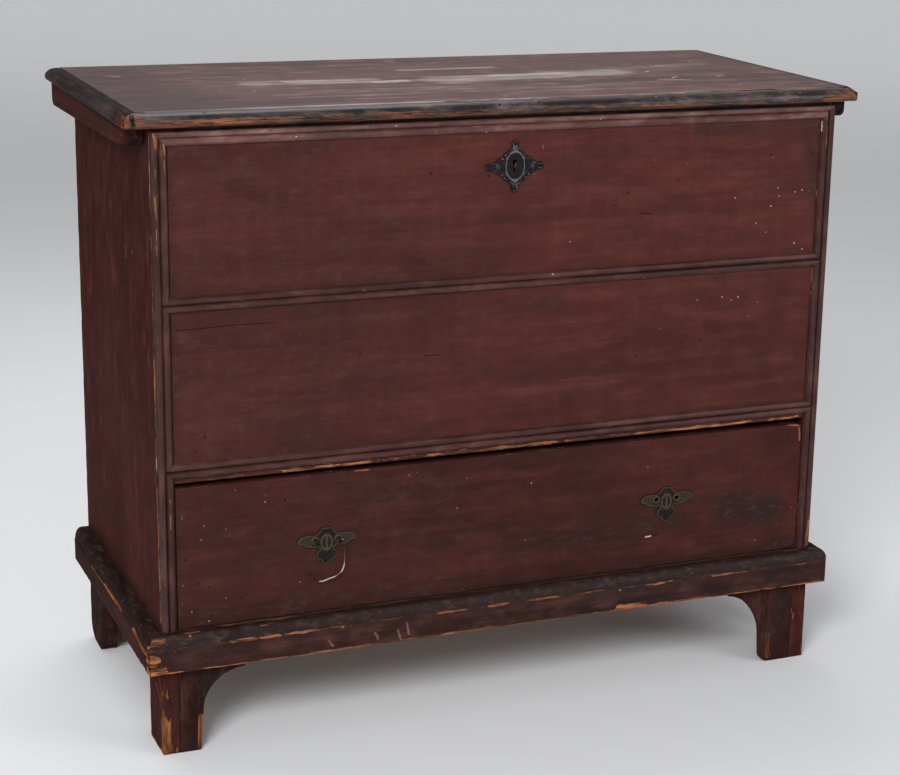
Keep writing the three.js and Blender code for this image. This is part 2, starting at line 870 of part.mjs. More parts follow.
function lockCase() {
  const half = lockWidth / 2;
  const low = lockTop - lockHeight;
  const cavity = block(
    lockWall - half,
    half - lockWall,
    frontThickness - overrun,
    lockRear - lockWall,
    low + lockWall,
    lockTop - lockWall,
  );
  const slotHalf = stapleThickness / 2 + stapleSlotRoom;
  const slotReach = stapleHalf + stapleSlotRoom;
  const slot = block(
    -slotHalf,
    slotHalf,
    Math.max(stapleMiddle - slotReach, frontThickness + lockWall),
    Math.min(stapleMiddle + slotReach, lockRear - lockWall),
    lockTop - lockWall - overrun,
    lockTop + overrun,
  );
  const guide = block(
    boltStart + boltHeadLength,
    half - lockWall / 2,
    boltY + boltThickness + seatGap,
    lockRear - lockWall / 2,
    boltTop - boltTailHeight,
    boltTop,
  );
  return block(-half, half, frontThickness, lockRear, low, lockTop)
    .subtract(cavity)
    .subtract(slot)
    .add(guide);
}

function lockBolt() {
  const headLow = boltTop - boltHeadHeight;
  const tailLow = boltTop - boltTailHeight;
  const end = boltStart + boltLength;
  const talon = (boltStart + boltHeadLength + end) / 2;
  const outline = [
    [boltStart, headLow],
    [boltStart + boltHeadLength, headLow],
    [boltStart + boltHeadLength, tailLow],
    [talon - boltTalonWidth / 2, tailLow],
    ...arc(talon, tailLow, boltTalonWidth / 2, boltTalonDepth, Math.PI, 0, 6).slice(1, -1),
    [talon + boltTalonWidth / 2, tailLow],
    [end, tailLow],
    [end, boltTop],
    [boltStart, boltTop],
  ];
  return prism(outline, "y", boltY, boltY + boltThickness);
}

// Staple under the lid: a plate with a tongue, pierced for the bolt.
function lidStaple() {
  const plateLow = lidUnderside - staplePlateThickness;
  const holeTop = boltTop + stapleRoom;
  const holeLow = boltTop - boltHeadHeight - stapleRoom;
  const half = stapleThickness / 2;
  const tongue = block(
    -half,
    half,
    stapleMiddle - stapleHalf,
    stapleMiddle + stapleHalf,
    holeLow - stapleWall,
    lidUnderside,
  );
  const plateFront = frontThickness + runningGap;
  const plateHalf = staplePlateLength / 2;
  const plate = block(
    -plateHalf,
    plateHalf,
    plateFront,
    plateFront + staplePlateWidth,
    plateLow,
    lidUnderside,
  );
  const holeHalf = boltThickness / 2 + stapleRoom;
  const hole = block(
    -half - overrun,
    half + overrun,
    stapleMiddle - holeHalf,
    stapleMiddle + holeHalf,
    holeLow,
    holeTop,
  );
  return plate.add(tongue).subtract(hole);
}

// Strap hinges: leaf on the back board, strap under the lid, and a pin through their knuckles.
const knuckle = hingeWidth * hingeKnuckleShare;

function hingeBarrel(from, to) {
  return bar(hingeAxisY, hingeAxisZ, hingeBarrelRadius, "x", from, to);
}

function hingeBore(x) {
  const half = hingeWidth / 2 + overrun;
  return bar(hingeAxisY, hingeAxisZ, hingePinRadius + joinGap, "x", x - half, x + half);
}

function hingeLeaf(x) {
  const half = hingeWidth / 2;
  const high = hingeAxisZ;
  const plate = block(x - half, x + half, caseDepth, caseDepth + hingeThickness, high - leafLength, high);
  const inner = half - knuckle;
  const room = hingeBarrelRadius + runningGap;
  const clear = block(
    x - inner,
    x + inner,
    caseDepth - overrun,
    hingeAxisY + room,
    hingeAxisZ - room,
    hingeAxisZ + room,
  );
  return plate
    .add(hingeBarrel(x - half, x + half))
    .subtract(clear)
    .subtract(hingeBore(x));
}

function hingeStrap(x) {
  const half = hingeWidth / 2;
  const tipHalf = strapTipWidth / 2;
  const rear = caseDepth - runningGap;
  const tip = rear - strapLength;
  const plan = [
    [x - half, rear],
    [x - tipHalf, tip + tipHalf],
    ...arc(x, tip + tipHalf, tipHalf, tipHalf, -Math.PI, 0).slice(1, -1),
    [x + tipHalf, tip + tipHalf],
    [x + half, rear],
  ];
  const low = lidUnderside - hingeThickness;
  const inner = half - knuckle - runningGap;
  const tongue = block(x - inner, x + inner, rear - overrun, hingeAxisY, low, lidUnderside);
  return prism(plan, "z", low, lidUnderside)
    .add(tongue)
    .add(hingeBarrel(x - inner, x + inner))
    .subtract(hingeBore(x));
}

function hingePin(x) {
  const seat = x + hingeWidth / 2 + joinGap;
  const tip = x - hingeWidth / 2 - hingePinHead;
  const head = bar(hingeAxisY, hingeAxisZ, hingePinHeadRadius, "x", seat, seat + hingePinHead);
  return bar(hingeAxisY, hingeAxisZ, hingePinRadius, "x", tip, seat + hingePinHead).add(head);
}

function group(name, ...meshes) {
  const made = new THREE.Group();
  made.name = name;
  made.add(...meshes);
  return made;
}

const [hingeLeft, hingeRight] = hingePlaces();
const [postOuter, postInner] = postPlaces(-1);

const caseGroup = group(
  "case",
  meshOf("side_left", sideBoard(-1), redPaint()),
  meshOf("side_right", sideBoard(1), redPaint()),
  meshOf("front_board", frontBoard(), redPaint()),
  meshOf("back_board_upper", backBoardUpper(), bareWood()),
  meshOf("back_board_lower", backBoard(footHeight, backJointHeight), bareWood()),
  meshOf("well_floor", wellFloor(), bareWood()),
  meshOf("base_rail", baseRail(), bareWood()),
  meshOf("drawer_runner_left", drawerRunner(-1), bareWood()),
  meshOf("drawer_runner_right", drawerRunner(1), bareWood()),
  meshOf("moulding_top", topMoulding(), redPaint()),
  meshOf("moulding_mid", pointedMoulding(midMouldingTop), redPaint()),
  meshOf("moulding_lower", pointedMoulding(lowerMouldingTop), redPaint()),
  meshOf("moulding_left", uprightMoulding(-1), redPaint()),
  meshOf("moulding_right", uprightMoulding(1), redPaint()),
  meshOf("base_moulding_front", baseFront(), darkPaint()),
  meshOf("base_moulding_left", baseSide(-1), darkPaint()),
  meshOf("base_moulding_right", baseSide(1), darkPaint()),
  meshOf("foot_bracket_left", leftBracket(sideThickness, leftBracketJoint), redPaint()),
  meshOf("foot_bracket_wing", leftBracket(leftBracketJoint, leftBracketReach), redPaint()),
  meshOf("foot_bracket_right", rightBracket(), redPaint()),
  meshOf("foot_block_left", footBlock(-1), bareWood()),
  meshOf("foot_block_right", footBlock(1), bareWood()),
  meshOf("escutcheon", escutcheon(), plateMetal()),
  meshOf("lock_case", lockCase(), iron()),
  meshOf("hinge_leaf_left", hingeLeaf(hingeLeft), iron()),
  meshOf("hinge_leaf_right", hingeLeaf(hingeRight), iron()),
  meshOf("hinge_pin_left", hingePin(hingeLeft), iron()),
  meshOf("hinge_pin_right", hingePin(hingeRight), iron()),
);

const lidGroup = group(
  "lid",
  meshOf("lid_board", lidBoard(), redPaint()),
  meshOf("lid_moulding_front", noseFront(), darkPaint()),
  meshOf("lid_moulding_left", noseSide(-1), darkPaint()),
  meshOf("lid_moulding_right", noseSide(1), darkPaint()),
  meshOf("lid_cleat_left", cleat(-1), redPaint()),
  meshOf("lid_cleat_right", cleat(1), redPaint()),
  meshOf("lid_staple", lidStaple(), iron()),
  meshOf("hinge_strap_left", hingeStrap(hingeLeft), iron()),
  meshOf("hinge_strap_right", hingeStrap(hingeRight), iron()),
);

const drawerGroup = group(
  "drawer",
  meshOf("drawer_front", drawerFront(), redPaint()),
  meshOf("drawer_side_left", drawerSide(-1), bareWood()),
  meshOf("drawer_side_right", drawerSide(1), bareWood()),
  meshOf("drawer_back", drawerBack(), bareWood()),
  meshOf("drawer_bottom", drawerBottom(), bareWood()),
  meshOf("pull_plate_left", pullPlate(-1), brass()),
  meshOf("pull_plate_right", pullPlate(1), brass()),
  meshOf("pull_post_outer", pullPost(postOuter), brass()),
  meshOf("pull_post_inner", pullPost(postInner), brass()),
  meshOf("pull_bail", bail(), wireMetal()),
);

const lockGroup = group("lock", meshOf("lock_bolt", lockBolt(), iron()));

const frame = group("frame", caseGroup, lidGroup, drawerGroup, lockGroup);
frame.position.set(caseMiddle, frontPlane, 0);

const muleChest = group("mule_chest", frame);

export default muleChest;
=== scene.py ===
# Mule chest in old red paint, in metres, +Z up, its front towards -Y.
import json
import math

import bmesh
import bpy
import numpy as np
from mathutils import Matrix, Vector, kdtree, noise


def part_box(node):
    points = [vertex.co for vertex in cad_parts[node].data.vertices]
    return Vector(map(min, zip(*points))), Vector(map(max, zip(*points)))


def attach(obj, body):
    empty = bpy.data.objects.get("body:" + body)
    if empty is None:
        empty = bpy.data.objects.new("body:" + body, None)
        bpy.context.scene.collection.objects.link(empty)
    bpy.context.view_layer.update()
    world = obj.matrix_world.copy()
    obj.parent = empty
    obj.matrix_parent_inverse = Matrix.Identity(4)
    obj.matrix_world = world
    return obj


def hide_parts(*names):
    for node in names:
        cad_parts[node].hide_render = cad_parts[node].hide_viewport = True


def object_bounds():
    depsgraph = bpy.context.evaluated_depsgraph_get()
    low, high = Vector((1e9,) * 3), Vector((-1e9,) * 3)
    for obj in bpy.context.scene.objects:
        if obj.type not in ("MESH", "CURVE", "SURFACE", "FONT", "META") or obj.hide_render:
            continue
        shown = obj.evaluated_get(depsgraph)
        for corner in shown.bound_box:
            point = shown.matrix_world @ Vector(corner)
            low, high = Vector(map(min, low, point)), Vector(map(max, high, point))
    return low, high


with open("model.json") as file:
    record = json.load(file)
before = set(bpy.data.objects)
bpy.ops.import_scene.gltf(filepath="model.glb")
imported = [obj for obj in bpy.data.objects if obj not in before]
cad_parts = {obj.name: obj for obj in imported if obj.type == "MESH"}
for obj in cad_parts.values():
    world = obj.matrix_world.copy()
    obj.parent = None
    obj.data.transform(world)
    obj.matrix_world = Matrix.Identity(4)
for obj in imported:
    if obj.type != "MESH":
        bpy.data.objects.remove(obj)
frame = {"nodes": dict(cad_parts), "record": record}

cadLow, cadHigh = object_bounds()
nodes = frame["nodes"]
scene = bpy.context.scene
scene.view_settings.view_transform = "Standard"

# Camera, fitted to the photograph. Its pixels are those of the 900 x 775 picture.
view = {
    "place": Vector((-1.10145, -2.78354, 1.25566)),
    "yaw": -23.44, "pitch": -15.22, "roll": 1.28,
    "focalPixels": 2082.16,
    "middle": (514.66, 371.84),
    "picture": (900, 775),
    "sensor": 36.0,
}


def cameraAxes():
    yaw, pitch, roll = (math.radians(view[key]) for key in ("yaw", "pitch", "roll"))
    ahead = Vector((-math.sin(yaw) * math.cos(pitch), math.cos(yaw) * math.cos(pitch), math.sin(pitch)))
    level = Vector((math.cos(yaw), math.sin(yaw), 0))
    upright = level.cross(ahead)
    right = math.cos(roll) * level + math.sin(roll) * upright
    up = math.cos(roll) * upright - math.sin(roll) * level
    return right, up, ahead


def seen(px, py, axis, value):  # the point that a pixel shows on a plane square to an axis
    right, up, ahead = cameraAxes()
    across = (px - view["middle"][0]) / view["focalPixels"]
    down = (py - view["middle"][1]) / view["focalPixels"]
    ray = ahead + right * across - up * down
    return view["place"] + ray * ((value - view["place"][axis]) / ray[axis])


def makeCamera():
    right, up, ahead = cameraAxes()
    wide, high = view["picture"]
    data = bpy.data.cameras.new("camera")
    data.sensor_fit = "HORIZONTAL"
    data.sensor_width = view["sensor"]
    data.lens = view["focalPixels"] * view["sensor"] / wide
    data.shift_x = (wide / 2 - view["middle"][0]) / wide
    data.shift_y = (view["middle"][1] - high / 2) / wide
    data.clip_end = 60
    camera = bpy.data.objects.new("camera", data)
    turned = Matrix((right, up, -ahead)).transposed().to_4x4()
    camera.matrix_world = Matrix.Translation(view["place"]) @ turned
    scene.collection.objects.link(camera)
    scene.camera = camera


makeCamera()
print("camera set")


# Small helpers for shader trees
def srgb(red, green, blue):  # a colour as the eye reads it, 0 to 255, as the shader wants it
    def linear(value):
        value /= 255
        return value / 12.92 if value <= 0.04045 else ((value + 0.055) / 1.055) ** 2.4
    return (linear(red), linear(green), linear(blue), 1)


def put(tree, kind, inputs=None, **settings):
    node = tree.nodes.new("ShaderNode" + kind)
    for name, value in settings.items():
        setattr(node, name, value)
    for name, value in (inputs or {}).items():
        if isinstance(value, bpy.types.NodeSocket):
            tree.links.new(value, node.inputs[name])
        else:
            node.inputs[name].default_value = value
    return node


def calc(tree, operation, a, b=0.0, clamp=False):
    return put(tree, "Math", {0: a, 1: b}, operation=operation, use_clamp=clamp).outputs[0]


def plus(tree, a, b):
    return calc(tree, "ADD", a, b)


def minus(tree, a, b, clamp=False):
    return calc(tree, "SUBTRACT", a, b, clamp)


def times(tree, a, b, clamp=False):
    return calc(tree, "MULTIPLY", a, b, clamp)


def vectorCalc(tree, operation, a, b=(0, 0, 0)):
    return put(tree, "VectorMath", {0: a, 1: b}, operation=operation).outputs


def spread(tree, value, low, high, toLow=0.0, toHigh=1.0):  # a smooth step from one level to another
    settings = {"Value": value, "From Min": low, "From Max": high, "To Min": toLow, "To Max": toHigh}
    return put(tree, "MapRange", settings, interpolation_type="SMOOTHSTEP").outputs[0]


def mixed(tree, share, a, b, mode="MIX"):
    sockets = {0: share, 6: a, 7: b}
    return put(tree, "Mix", sockets, data_type="RGBA", blend_type=mode, clamp_factor=True).outputs[2]


def shaded(tree, color, share):  # a colour made darker or lighter by a factor
    factor = put(tree, "CombineColor", {0: share, 1: share, 2: share}).outputs[0]
    return mixed(tree, 1.0, color, factor, "MULTIPLY")


def streaky(tree, vector, scale, detail=3.0, rough=0.55, bend=0.0):  # noise drawn out by a scale per axis
    at = put(tree, "Mapping", {"Vector": vector, "Scale": scale}).outputs[0]
    settings = {"Vector": at, "Scale": 1.0, "Detail": detail, "Roughness": rough, "Distortion": bend}
    return put(tree, "TexNoise", settings).outputs["Fac"]


def swing(tree, value, amount):  # noise turned into a change about zero
    return times(tree, minus(tree, value, 0.5), amount)


def specks(tree, vector, scale, size, share):  # a share of the cells has one round speck
    cells = put(tree, "TexVoronoi", {"Vector": vector, "Scale": scale})
    near = spread(tree, cells.outputs["Distance"], size, size * 0.45)
    pick = put(tree, "SeparateColor", {"Color": cells.outputs["Color"]}).outputs[0]
    return times(tree, near, spread(tree, pick, 1 - share, 1.01 - share))


def newGroup(name, inputs, outputs):
    kinds = {"vector": "NodeSocketVector", "number": "NodeSocketFloat", "color": "NodeSocketColor"}
    tree = bpy.data.node_groups.new(name, "ShaderNodeTree")
    for label, kind in inputs.items():
        tree.interface.new_socket(label, in_out="INPUT", socket_type=kinds[kind])
    for label, kind in outputs.items():
        tree.interface.new_socket(label, in_out="OUTPUT", socket_type=kinds[kind])
    source = tree.nodes.new("NodeGroupInput").outputs
    sink = tree.nodes.new("NodeGroupOutput").inputs
    return tree, source, sink


def useGroup(tree, group, inputs):
    return put(tree, "Group", inputs, node_tree=group).outputs


# Bare pine: fine lines along the grain, broad growth bands and dirt in hollows
def makePineGroup():
    tree, given, result = newGroup(
        "barePine",
        {"Vector": "vector", "Light": "color", "Dark": "color", "Soil": "color", "Dirt": "number"},
        {"Color": "color", "Height": "number"},
    )
    at = given["Vector"]
    lines = streaky(tree, at, (3.5, 330, 330), 4, 0.6)
    bands = streaky(tree, at, (0.8, 17, 17), 2, 0.45, 0.15)
    rings = calc(tree, "SINE", times(tree, bands, 95.0))
    figure = spread(tree, rings, -0.9, 1.0)
    tone = plus(tree, times(tree, spread(tree, lines, 0.36, 0.64), 0.6), times(tree, figure, 0.4))
    base = mixed(tree, tone, given["Light"], given["Dark"])
    grime = spread(tree, streaky(tree, at, (11, 90, 90), 6, 0.7), 0.38, 0.64)
    soiled = mixed(tree, times(tree, grime, given["Dirt"]), base, given["Soil"])
    tree.links.new(soiled, result["Color"])
    tree.links.new(minus(tree, lines, times(tree, figure, 0.3)), result["Height"])
    return tree


# Where paint is worn off, from a painted amount that noise makes ragged
def makeWearGroup():
    tree, given, result = newGroup(
        "wornEdge", {"Vector": "vector", "Wear": "number"}, {"Bare": "number", "Rim": "number"}
    )
    fine = streaky(tree, given["Vector"], (70, 620, 620), 3, 0.6)
    broad = streaky(tree, given["Vector"], (20, 120, 120), 5, 0.7)
    ragged = plus(tree, swing(tree, fine, 1.0), swing(tree, broad, 2.1))
    level = plus(tree, given["Wear"], ragged)
    gate = spread(tree, given["Wear"], 0.04, 0.2)
    bare = times(tree, spread(tree, level, 0.5, 0.58), gate)
    rim = times(tree, spread(tree, level, 0.3, 0.5), gate)
    tree.links.new(bare, result["Bare"])
    tree.links.new(minus(tree, rim, bare, True), result["Rim"])
    return tree


# Old paint over pine: blotches, short streaks along the grain, specks, stains and painted shade, chalk and
# painted highlights, wear
def makePaintGroup(wear, pine):
    tree, given, result = newGroup(
        "agedPaint",
        {"Vector": "vector", "Wear": "number", "Stain_And_Shade": "number", "Pale": "number", "Streak": "number",
         "Mottle": "number", "Gloss": "number", "Flecks": "number", "Deep": "color", "Body": "color",
         "Light": "color", "Chalk_And_Highlight": "color", "Wood": "color"},
        {"Color": "color", "Roughness": "number", "Height": "number"},
    )
    at = given["Vector"]
    lines = streaky(tree, at, (14, 420, 420), 4, 0.65)
    mottle = streaky(tree, at, (22, 46, 46), 6, 0.68, 0.3)
    strip = streaky(tree, at, (3.4, 70, 70), 4, 0.6, 0.2)
    blotch = streaky(tree, at, (3.2, 7.5, 7.5), 3, 0.55, 0.5)
    hair = streaky(tree, at, (26, 520, 520), 2, 0.5)
    across = streaky(tree, at, (130, 7, 7), 3, 0.6)
    tone = mixed(tree, spread(tree, blotch, 0.34, 0.66), given["Deep"], given["Body"])
    drawn = swing(tree, strip, 1.0)
    drawn = times(tree, drawn, calc(tree, "MINIMUM", times(tree, given["Streak"], 0.8), 0.4))
    lift = plus(tree, times(tree, mottle, 0.6), plus(tree, drawn, 0.2))
    lift = times(tree, spread(tree, lift, 0.45, 0.68), given["Mottle"])
    tone = mixed(tree, lift, tone, given["Light"])
    shade = plus(tree, 1.0, times(tree, swing(tree, mottle, 1.3), given["Mottle"]))
    shade = plus(tree, shade, times(tree, swing(tree, strip, 1.0), given["Streak"]))
    shade = plus(tree, shade, times(tree, swing(tree, lines, 0.8), given["Streak"]))
    shade = plus(tree, shade, swing(tree, across, 0.35))
    tone = shaded(tree, tone, shade)
    smudge = spread(tree, streaky(tree, at, (7, 17, 17), 5, 0.7, 0.4), 0.55, 0.72)
    smudge = times(tree, smudge, times(tree, given["Mottle"], 0.6))
    tone = mixed(tree, smudge, tone, srgb(46, 33, 34))
    hairs = times(tree, spread(tree, hair, 0.64, 0.74), given["Streak"])
    tone = mixed(tree, hairs, tone, srgb(34, 22, 21))
    ragged = plus(tree, swing(tree, strip, 1.1), swing(tree, mottle, 0.9))
    # pale smears in the chalk colour: chalk, and also painted highlights on lit edges and a painted sheen
    smearAndHighlight = spread(tree, plus(tree, given["Pale"], ragged), 0.3, 1.3)
    smearAndHighlight = times(tree, smearAndHighlight, spread(tree, given["Pale"], 0.0, 0.35))
    tone = mixed(tree, smearAndHighlight, tone, given["Chalk_And_Highlight"])
    # the stain amount holds real stains and dirt, and also painted shade and painted shadows; it darkens
    # towards this brown
    stainAndShade = times(tree, given["Stain_And_Shade"], spread(tree, mottle, 0.36, 0.6, 0.4, 1.0), True)
    tone = mixed(tree, stainAndShade, tone, srgb(31, 25, 24))
    grit = spread(tree, streaky(tree, at, (60, 120, 120), 5, 0.75), 0.5, 0.64)
    tone = mixed(tree, times(tree, grit, times(tree, stainAndShade, 0.5)), tone, srgb(92, 74, 68))
    pits = specks(tree, at, 62, 0.075, 0.12)
    tone = mixed(tree, times(tree, pits, 0.8), tone, srgb(24, 17, 16))
    flecks = times(tree, specks(tree, at, 30, 0.03, 0.12), given["Flecks"])
    tone = mixed(tree, flecks, tone, srgb(170, 150, 140))
    worn = useGroup(tree, wear, {"Vector": at, "Wear": given["Wear"]})
    wood = useGroup(tree, pine, {"Vector": at, "Light": given["Wood"], "Dark": srgb(112, 64, 38),
                                 "Soil": srgb(44, 26, 19), "Dirt": 0.9})
    tone = mixed(tree, times(tree, worn["Rim"], 0.8), tone, srgb(36, 23, 20))
    splits = spread(tree, streaky(tree, at, (9, 330, 330), 2, 0.5, 0.3), 0.555, 0.62)
    splits = times(tree, splits, 0.85)
    tone = mixed(tree, worn["Bare"], tone, mixed(tree, splits, wood["Color"], srgb(30, 18, 14)))
    tree.links.new(tone, result["Color"])
    rough = minus(tree, plus(tree, 0.5, swing(tree, mottle, 0.4)), given["Gloss"])
    rough = plus(tree, rough, times(tree, calc(tree, "MAXIMUM", worn["Bare"], smearAndHighlight), 0.25))
    tree.links.new(rough, result["Roughness"])
    height = plus(tree, times(tree, lines, 0.35), times(tree, mottle, 0.5))
    height = minus(tree, height, times(tree, worn["Bare"], 0.8))
    grain = times(tree, wood["Height"], times(tree, worn["Bare"], 1.2))
    height = minus(tree, plus(tree, height, grain), pits)
    tree.links.new(height, result["Height"])
    return tree


# Old metal: dark skin, brighter where it is handled, pitted
def makeMetalGroup():
    tree, given, result = newGroup(
        "oldMetal",
        {"Vector": "vector", "Wear": "number", "Skin": "color", "Bright": "color", "Spot": "color"},
        {"Color": "color", "Roughness": "number", "Height": "number"},
    )
    at = given["Vector"]
    cloud = streaky(tree, at, (160, 160, 160), 5, 0.6)
    grain = streaky(tree, at, (900, 900, 900), 3, 0.6)
    patch = streaky(tree, at, (420, 420, 420), 4, 0.6)
    tone = mixed(tree, spread(tree, cloud, 0.38, 0.66), given["Skin"], given["Spot"])
    rubbed = spread(tree, plus(tree, given["Wear"], times(tree, patch, 0.7)), 0.5, 1.1)
    tone = mixed(tree, rubbed, tone, given["Bright"])
    tree.links.new(tone, result["Color"])
    tree.links.new(plus(tree, 0.38, times(tree, grain, 0.3)), result["Roughness"])
    tree.links.new(plus(tree, times(tree, cloud, 0.7), times(tree, grain, 0.3)), result["Height"])
    return tree


# One mark: a dot, scratch or crack between two points of the piece
def makeMarkGroup():
    tree, given, result = newGroup(
        "singleMark",
        {"Vector": "vector", "Start": "vector", "End": "vector", "Width": "number", "Ragged": "number",
         "Rough": "number"},
        {"Mask": "number"},
    )
    along = vectorCalc(tree, "SUBTRACT", given["End"], given["Start"])[0]
    away = vectorCalc(tree, "SUBTRACT", given["Vector"], given["Start"])[0]
    reach = calc(tree, "MAXIMUM", vectorCalc(tree, "DOT_PRODUCT", along, along)["Value"], 1e-9)
    share = calc(tree, "DIVIDE", vectorCalc(tree, "DOT_PRODUCT", away, along)["Value"], reach, True)
    foot = put(tree, "VectorMath", {0: along, "Scale": share}, operation="SCALE").outputs[0]
    gap = vectorCalc(tree, "LENGTH", vectorCalc(tree, "SUBTRACT", away, foot)[0])["Value"]
    edge = calc(tree, "DIVIDE", gap, given["Width"])
    edge = plus(tree, edge, times(tree, given["Rough"], given["Ragged"]))
    tree.links.new(spread(tree, edge, 1.0, 0.55), result["Mask"])
    return tree


pineGroup = makePineGroup()
wearGroup = makeWearGroup()
paintGroup = makePaintGroup(wearGroup, pineGroup)
metalGroup = makeMetalGroup()
markGroup = makeMarkGroup()

grainTurns = {"x": (0, 0, 0), "y": (0, 0, -math.pi / 2), "z": (0, math.pi / 2, 0)}


def startMaterial(name, grain="x", slide=(0, 0, 0)):
    made = bpy.data.materials.new(name)
    made.use_nodes = True
    tree = made.node_tree
    place = put(tree, "TexCoord").outputs["Object"]
    at = put(tree, "Mapping", {"Vector": place, "Rotation": grainTurns[grain], "Location": slide}).outputs[0]
    return made, tree, at, place, tree.nodes["Principled BSDF"]


def painted(tree, name):  # an amount painted on the piece's vertices
    return put(tree, "Attribute", attribute_name=name, attribute_type="GEOMETRY").outputs["Fac"]


def finishWith(tree, shader, color, roughness, height, metallic, bumpStrength, bumpDepth, specular):
    bump = put(tree, "Bump", {"Strength": bumpStrength, "Distance": bumpDepth, "Height": height})
    tree.links.new(color, shader.inputs["Base Color"])
    tree.links.new(roughness, shader.inputs["Roughness"])
    tree.links.new(bump.outputs[0], shader.inputs["Normal"])
    shader.inputs["Metallic"].default_value = metallic
    shader.inputs["Specular IOR Level"].default_value = specular


# Four colours of a paint, the fourth for chalk and painted highlights, then how streaky, mottled and flecked
# it is
def tones(deep, body, light, chalkAndHighlight, streak, mottle, flecks, wood=(180, 116, 70), gloss=0.0):
    colors = {"Deep": deep, "Body": body, "Light": light, "Chalk_And_Highlight": chalkAndHighlight, "Wood": wood}
    found = {name: srgb(*color) for name, color in colors.items()}
    return {**found, "Streak": streak, "Mottle": mottle, "Flecks": flecks, "Gloss": gloss}


redTones = tones((64, 31, 27), (75, 36, 31), (86, 45, 39), (176, 150, 138), 0.5, 0.5, 0.5)
drawerTones = tones((53, 25, 21), (64, 30, 26), (74, 37, 32), (176, 150, 138), 0.5, 0.6, 0.5)
sideTones = tones((56, 27, 23), (66, 33, 29), (76, 44, 41), (196, 160, 150), 0.2, 0.95, 0.4)
topTones = tones((82, 52, 48), (102, 68, 63), (122, 90, 83), (190, 165, 150), 1.0, 0.9, 0.6)
midTones = tones((50, 28, 25), (64, 35, 32), (80, 50, 46), (190, 165, 150), 1.0, 0.9, 0.6, gloss=0.1)
nosingTones = tones((24, 18, 18), (38, 28, 27), (76, 62, 62), (150, 140, 138), 1.0, 1.35, 0.6,
                    wood=(124, 78, 48), gloss=0.16)
cleatTones = tones((50, 25, 21), (64, 31, 26), (76, 40, 34), (150, 136, 134), 0.5, 0.8, 0.4)
baseTones = tones((37, 19, 16), (49, 25, 21), (61, 35, 30), (150, 136, 134), 0.8, 1.25, 0.4)
lidTones = tones((68, 44, 43), (88, 59, 56), (108, 79, 75), (168, 156, 156), 0.6, 1.1, 0.8)
markColors = {
    "dark": srgb(20, 14, 13), "pale": srgb(182, 162, 150),
    "bare": srgb(134, 78, 52), "dull": srgb(112, 78, 70),
}


def markRough(tree, place):  # noise that makes the outline of a mark ragged
    return swing(tree, streaky(tree, place, (420, 420, 420), 3, 0.6), 2.4)


def markMask(tree, place, rough, settings):
    start, end, width, ragged = settings
    sockets = {"Vector": place, "Start": start, "End": end, "Width": width, "Ragged": ragged, "Rough": rough}
    return useGroup(tree, markGroup, sockets)["Mask"]


def makePaint(name, grain, colors, slide=(0, 0, 0), specular=0.12, marks=None, relief=0.0005):
    made, tree, at, place, shader = startMaterial(name, grain, slide)
    amounts = {label.title(): painted(tree, label) for label in ("wear", "stain_and_shade", "pale")}
    found = useGroup(tree, paintGroup, {"Vector": at, **amounts, **colors})
    color, height = found["Color"], found["Height"]
    rough = markRough(tree, place)
    for kind, places in (marks or {}).items():
        whole = None
        for settings in places:
            spot = markMask(tree, place, rough, settings)
            whole = spot if whole is None else calc(tree, "MAXIMUM", whole, spot)
        color = mixed(tree, whole, color, markColors[kind])
        sink = 3.0 if kind == "dark" else 0.6
        height = minus(tree, height, times(tree, whole, sink))
    finishWith(tree, shader, color, found["Roughness"], height, 0.0, 0.5, relief, specular)
    return made


def makePine(name, grain, slide=(0, 0, 0), light=(156, 123, 88), dark=(116, 85, 57), dirt=0.6, joint=None):
    made, tree, at, place, shader = startMaterial(name, grain, slide)
    found = useGroup(tree, pineGroup, {"Vector": at, "Light": srgb(*light), "Dark": srgb(*dark),
                                       "Soil": srgb(92, 68, 46), "Dirt": dirt})
    bump = put(tree, "Bump", {"Strength": 0.5, "Distance": 0.0006, "Height": found["Height"]})
    color = found["Color"]
    if joint:  # the dark line between two boards: dust, and painted shade in the groove
        line = markMask(tree, place, markRough(tree, place), joint)
        color = mixed(tree, line, color, markColors["dark"])
    tree.links.new(color, shader.inputs["Base Color"])
    tree.links.new(bump.outputs[0], shader.inputs["Normal"])
    shader.inputs["Roughness"].default_value = 0.78
    shader.inputs["Specular IOR Level"].default_value = 0.25
    return made


def makeMetal(name, skin, spot, bright, metallic=0.7, bumpDepth=0.0003, specular=0.4):
    made, tree, at, place, shader = startMaterial(name)
    found = useGroup(tree, metalGroup, {"Vector": at, "Wear": painted(tree, "wear"), "Skin": srgb(*skin),
                                        "Spot": srgb(*spot), "Bright": srgb(*bright)})
    color, rough, height = (found[label] for label in ("Color", "Roughness", "Height"))
    finishWith(tree, shader, color, rough, height, metallic, 0.6, bumpDepth, specular)
    return made


# Planes and lines of the chest that wear and marks lie on
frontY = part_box("front_board")[0].y
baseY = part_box("base_moulding_front")[0].y
lidZ = cadHigh.z
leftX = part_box("side_left")[0].x
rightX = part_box("side_right")[1].x
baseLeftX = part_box("base_moulding_left")[0].x
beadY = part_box("moulding_left")[0].y
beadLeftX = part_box("moulding_left")[0].x
noseLow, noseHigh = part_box("lid_moulding_front")
noseY = noseLow.y
noseFaceZ = noseLow.z + 0.004
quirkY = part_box("lid_board")[0].y
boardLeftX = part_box("lid_board")[0].x
baseLow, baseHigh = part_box("base_moulding_front")
baseFillet = baseLow.z + 0.0348
topLow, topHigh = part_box("moulding_top")
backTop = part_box("back_board_lower")[1]
backJoint = (Vector((leftX, backTop.y, backTop.z)), Vector((rightX, backTop.y, backTop.z)), 0.0036, 0.3)


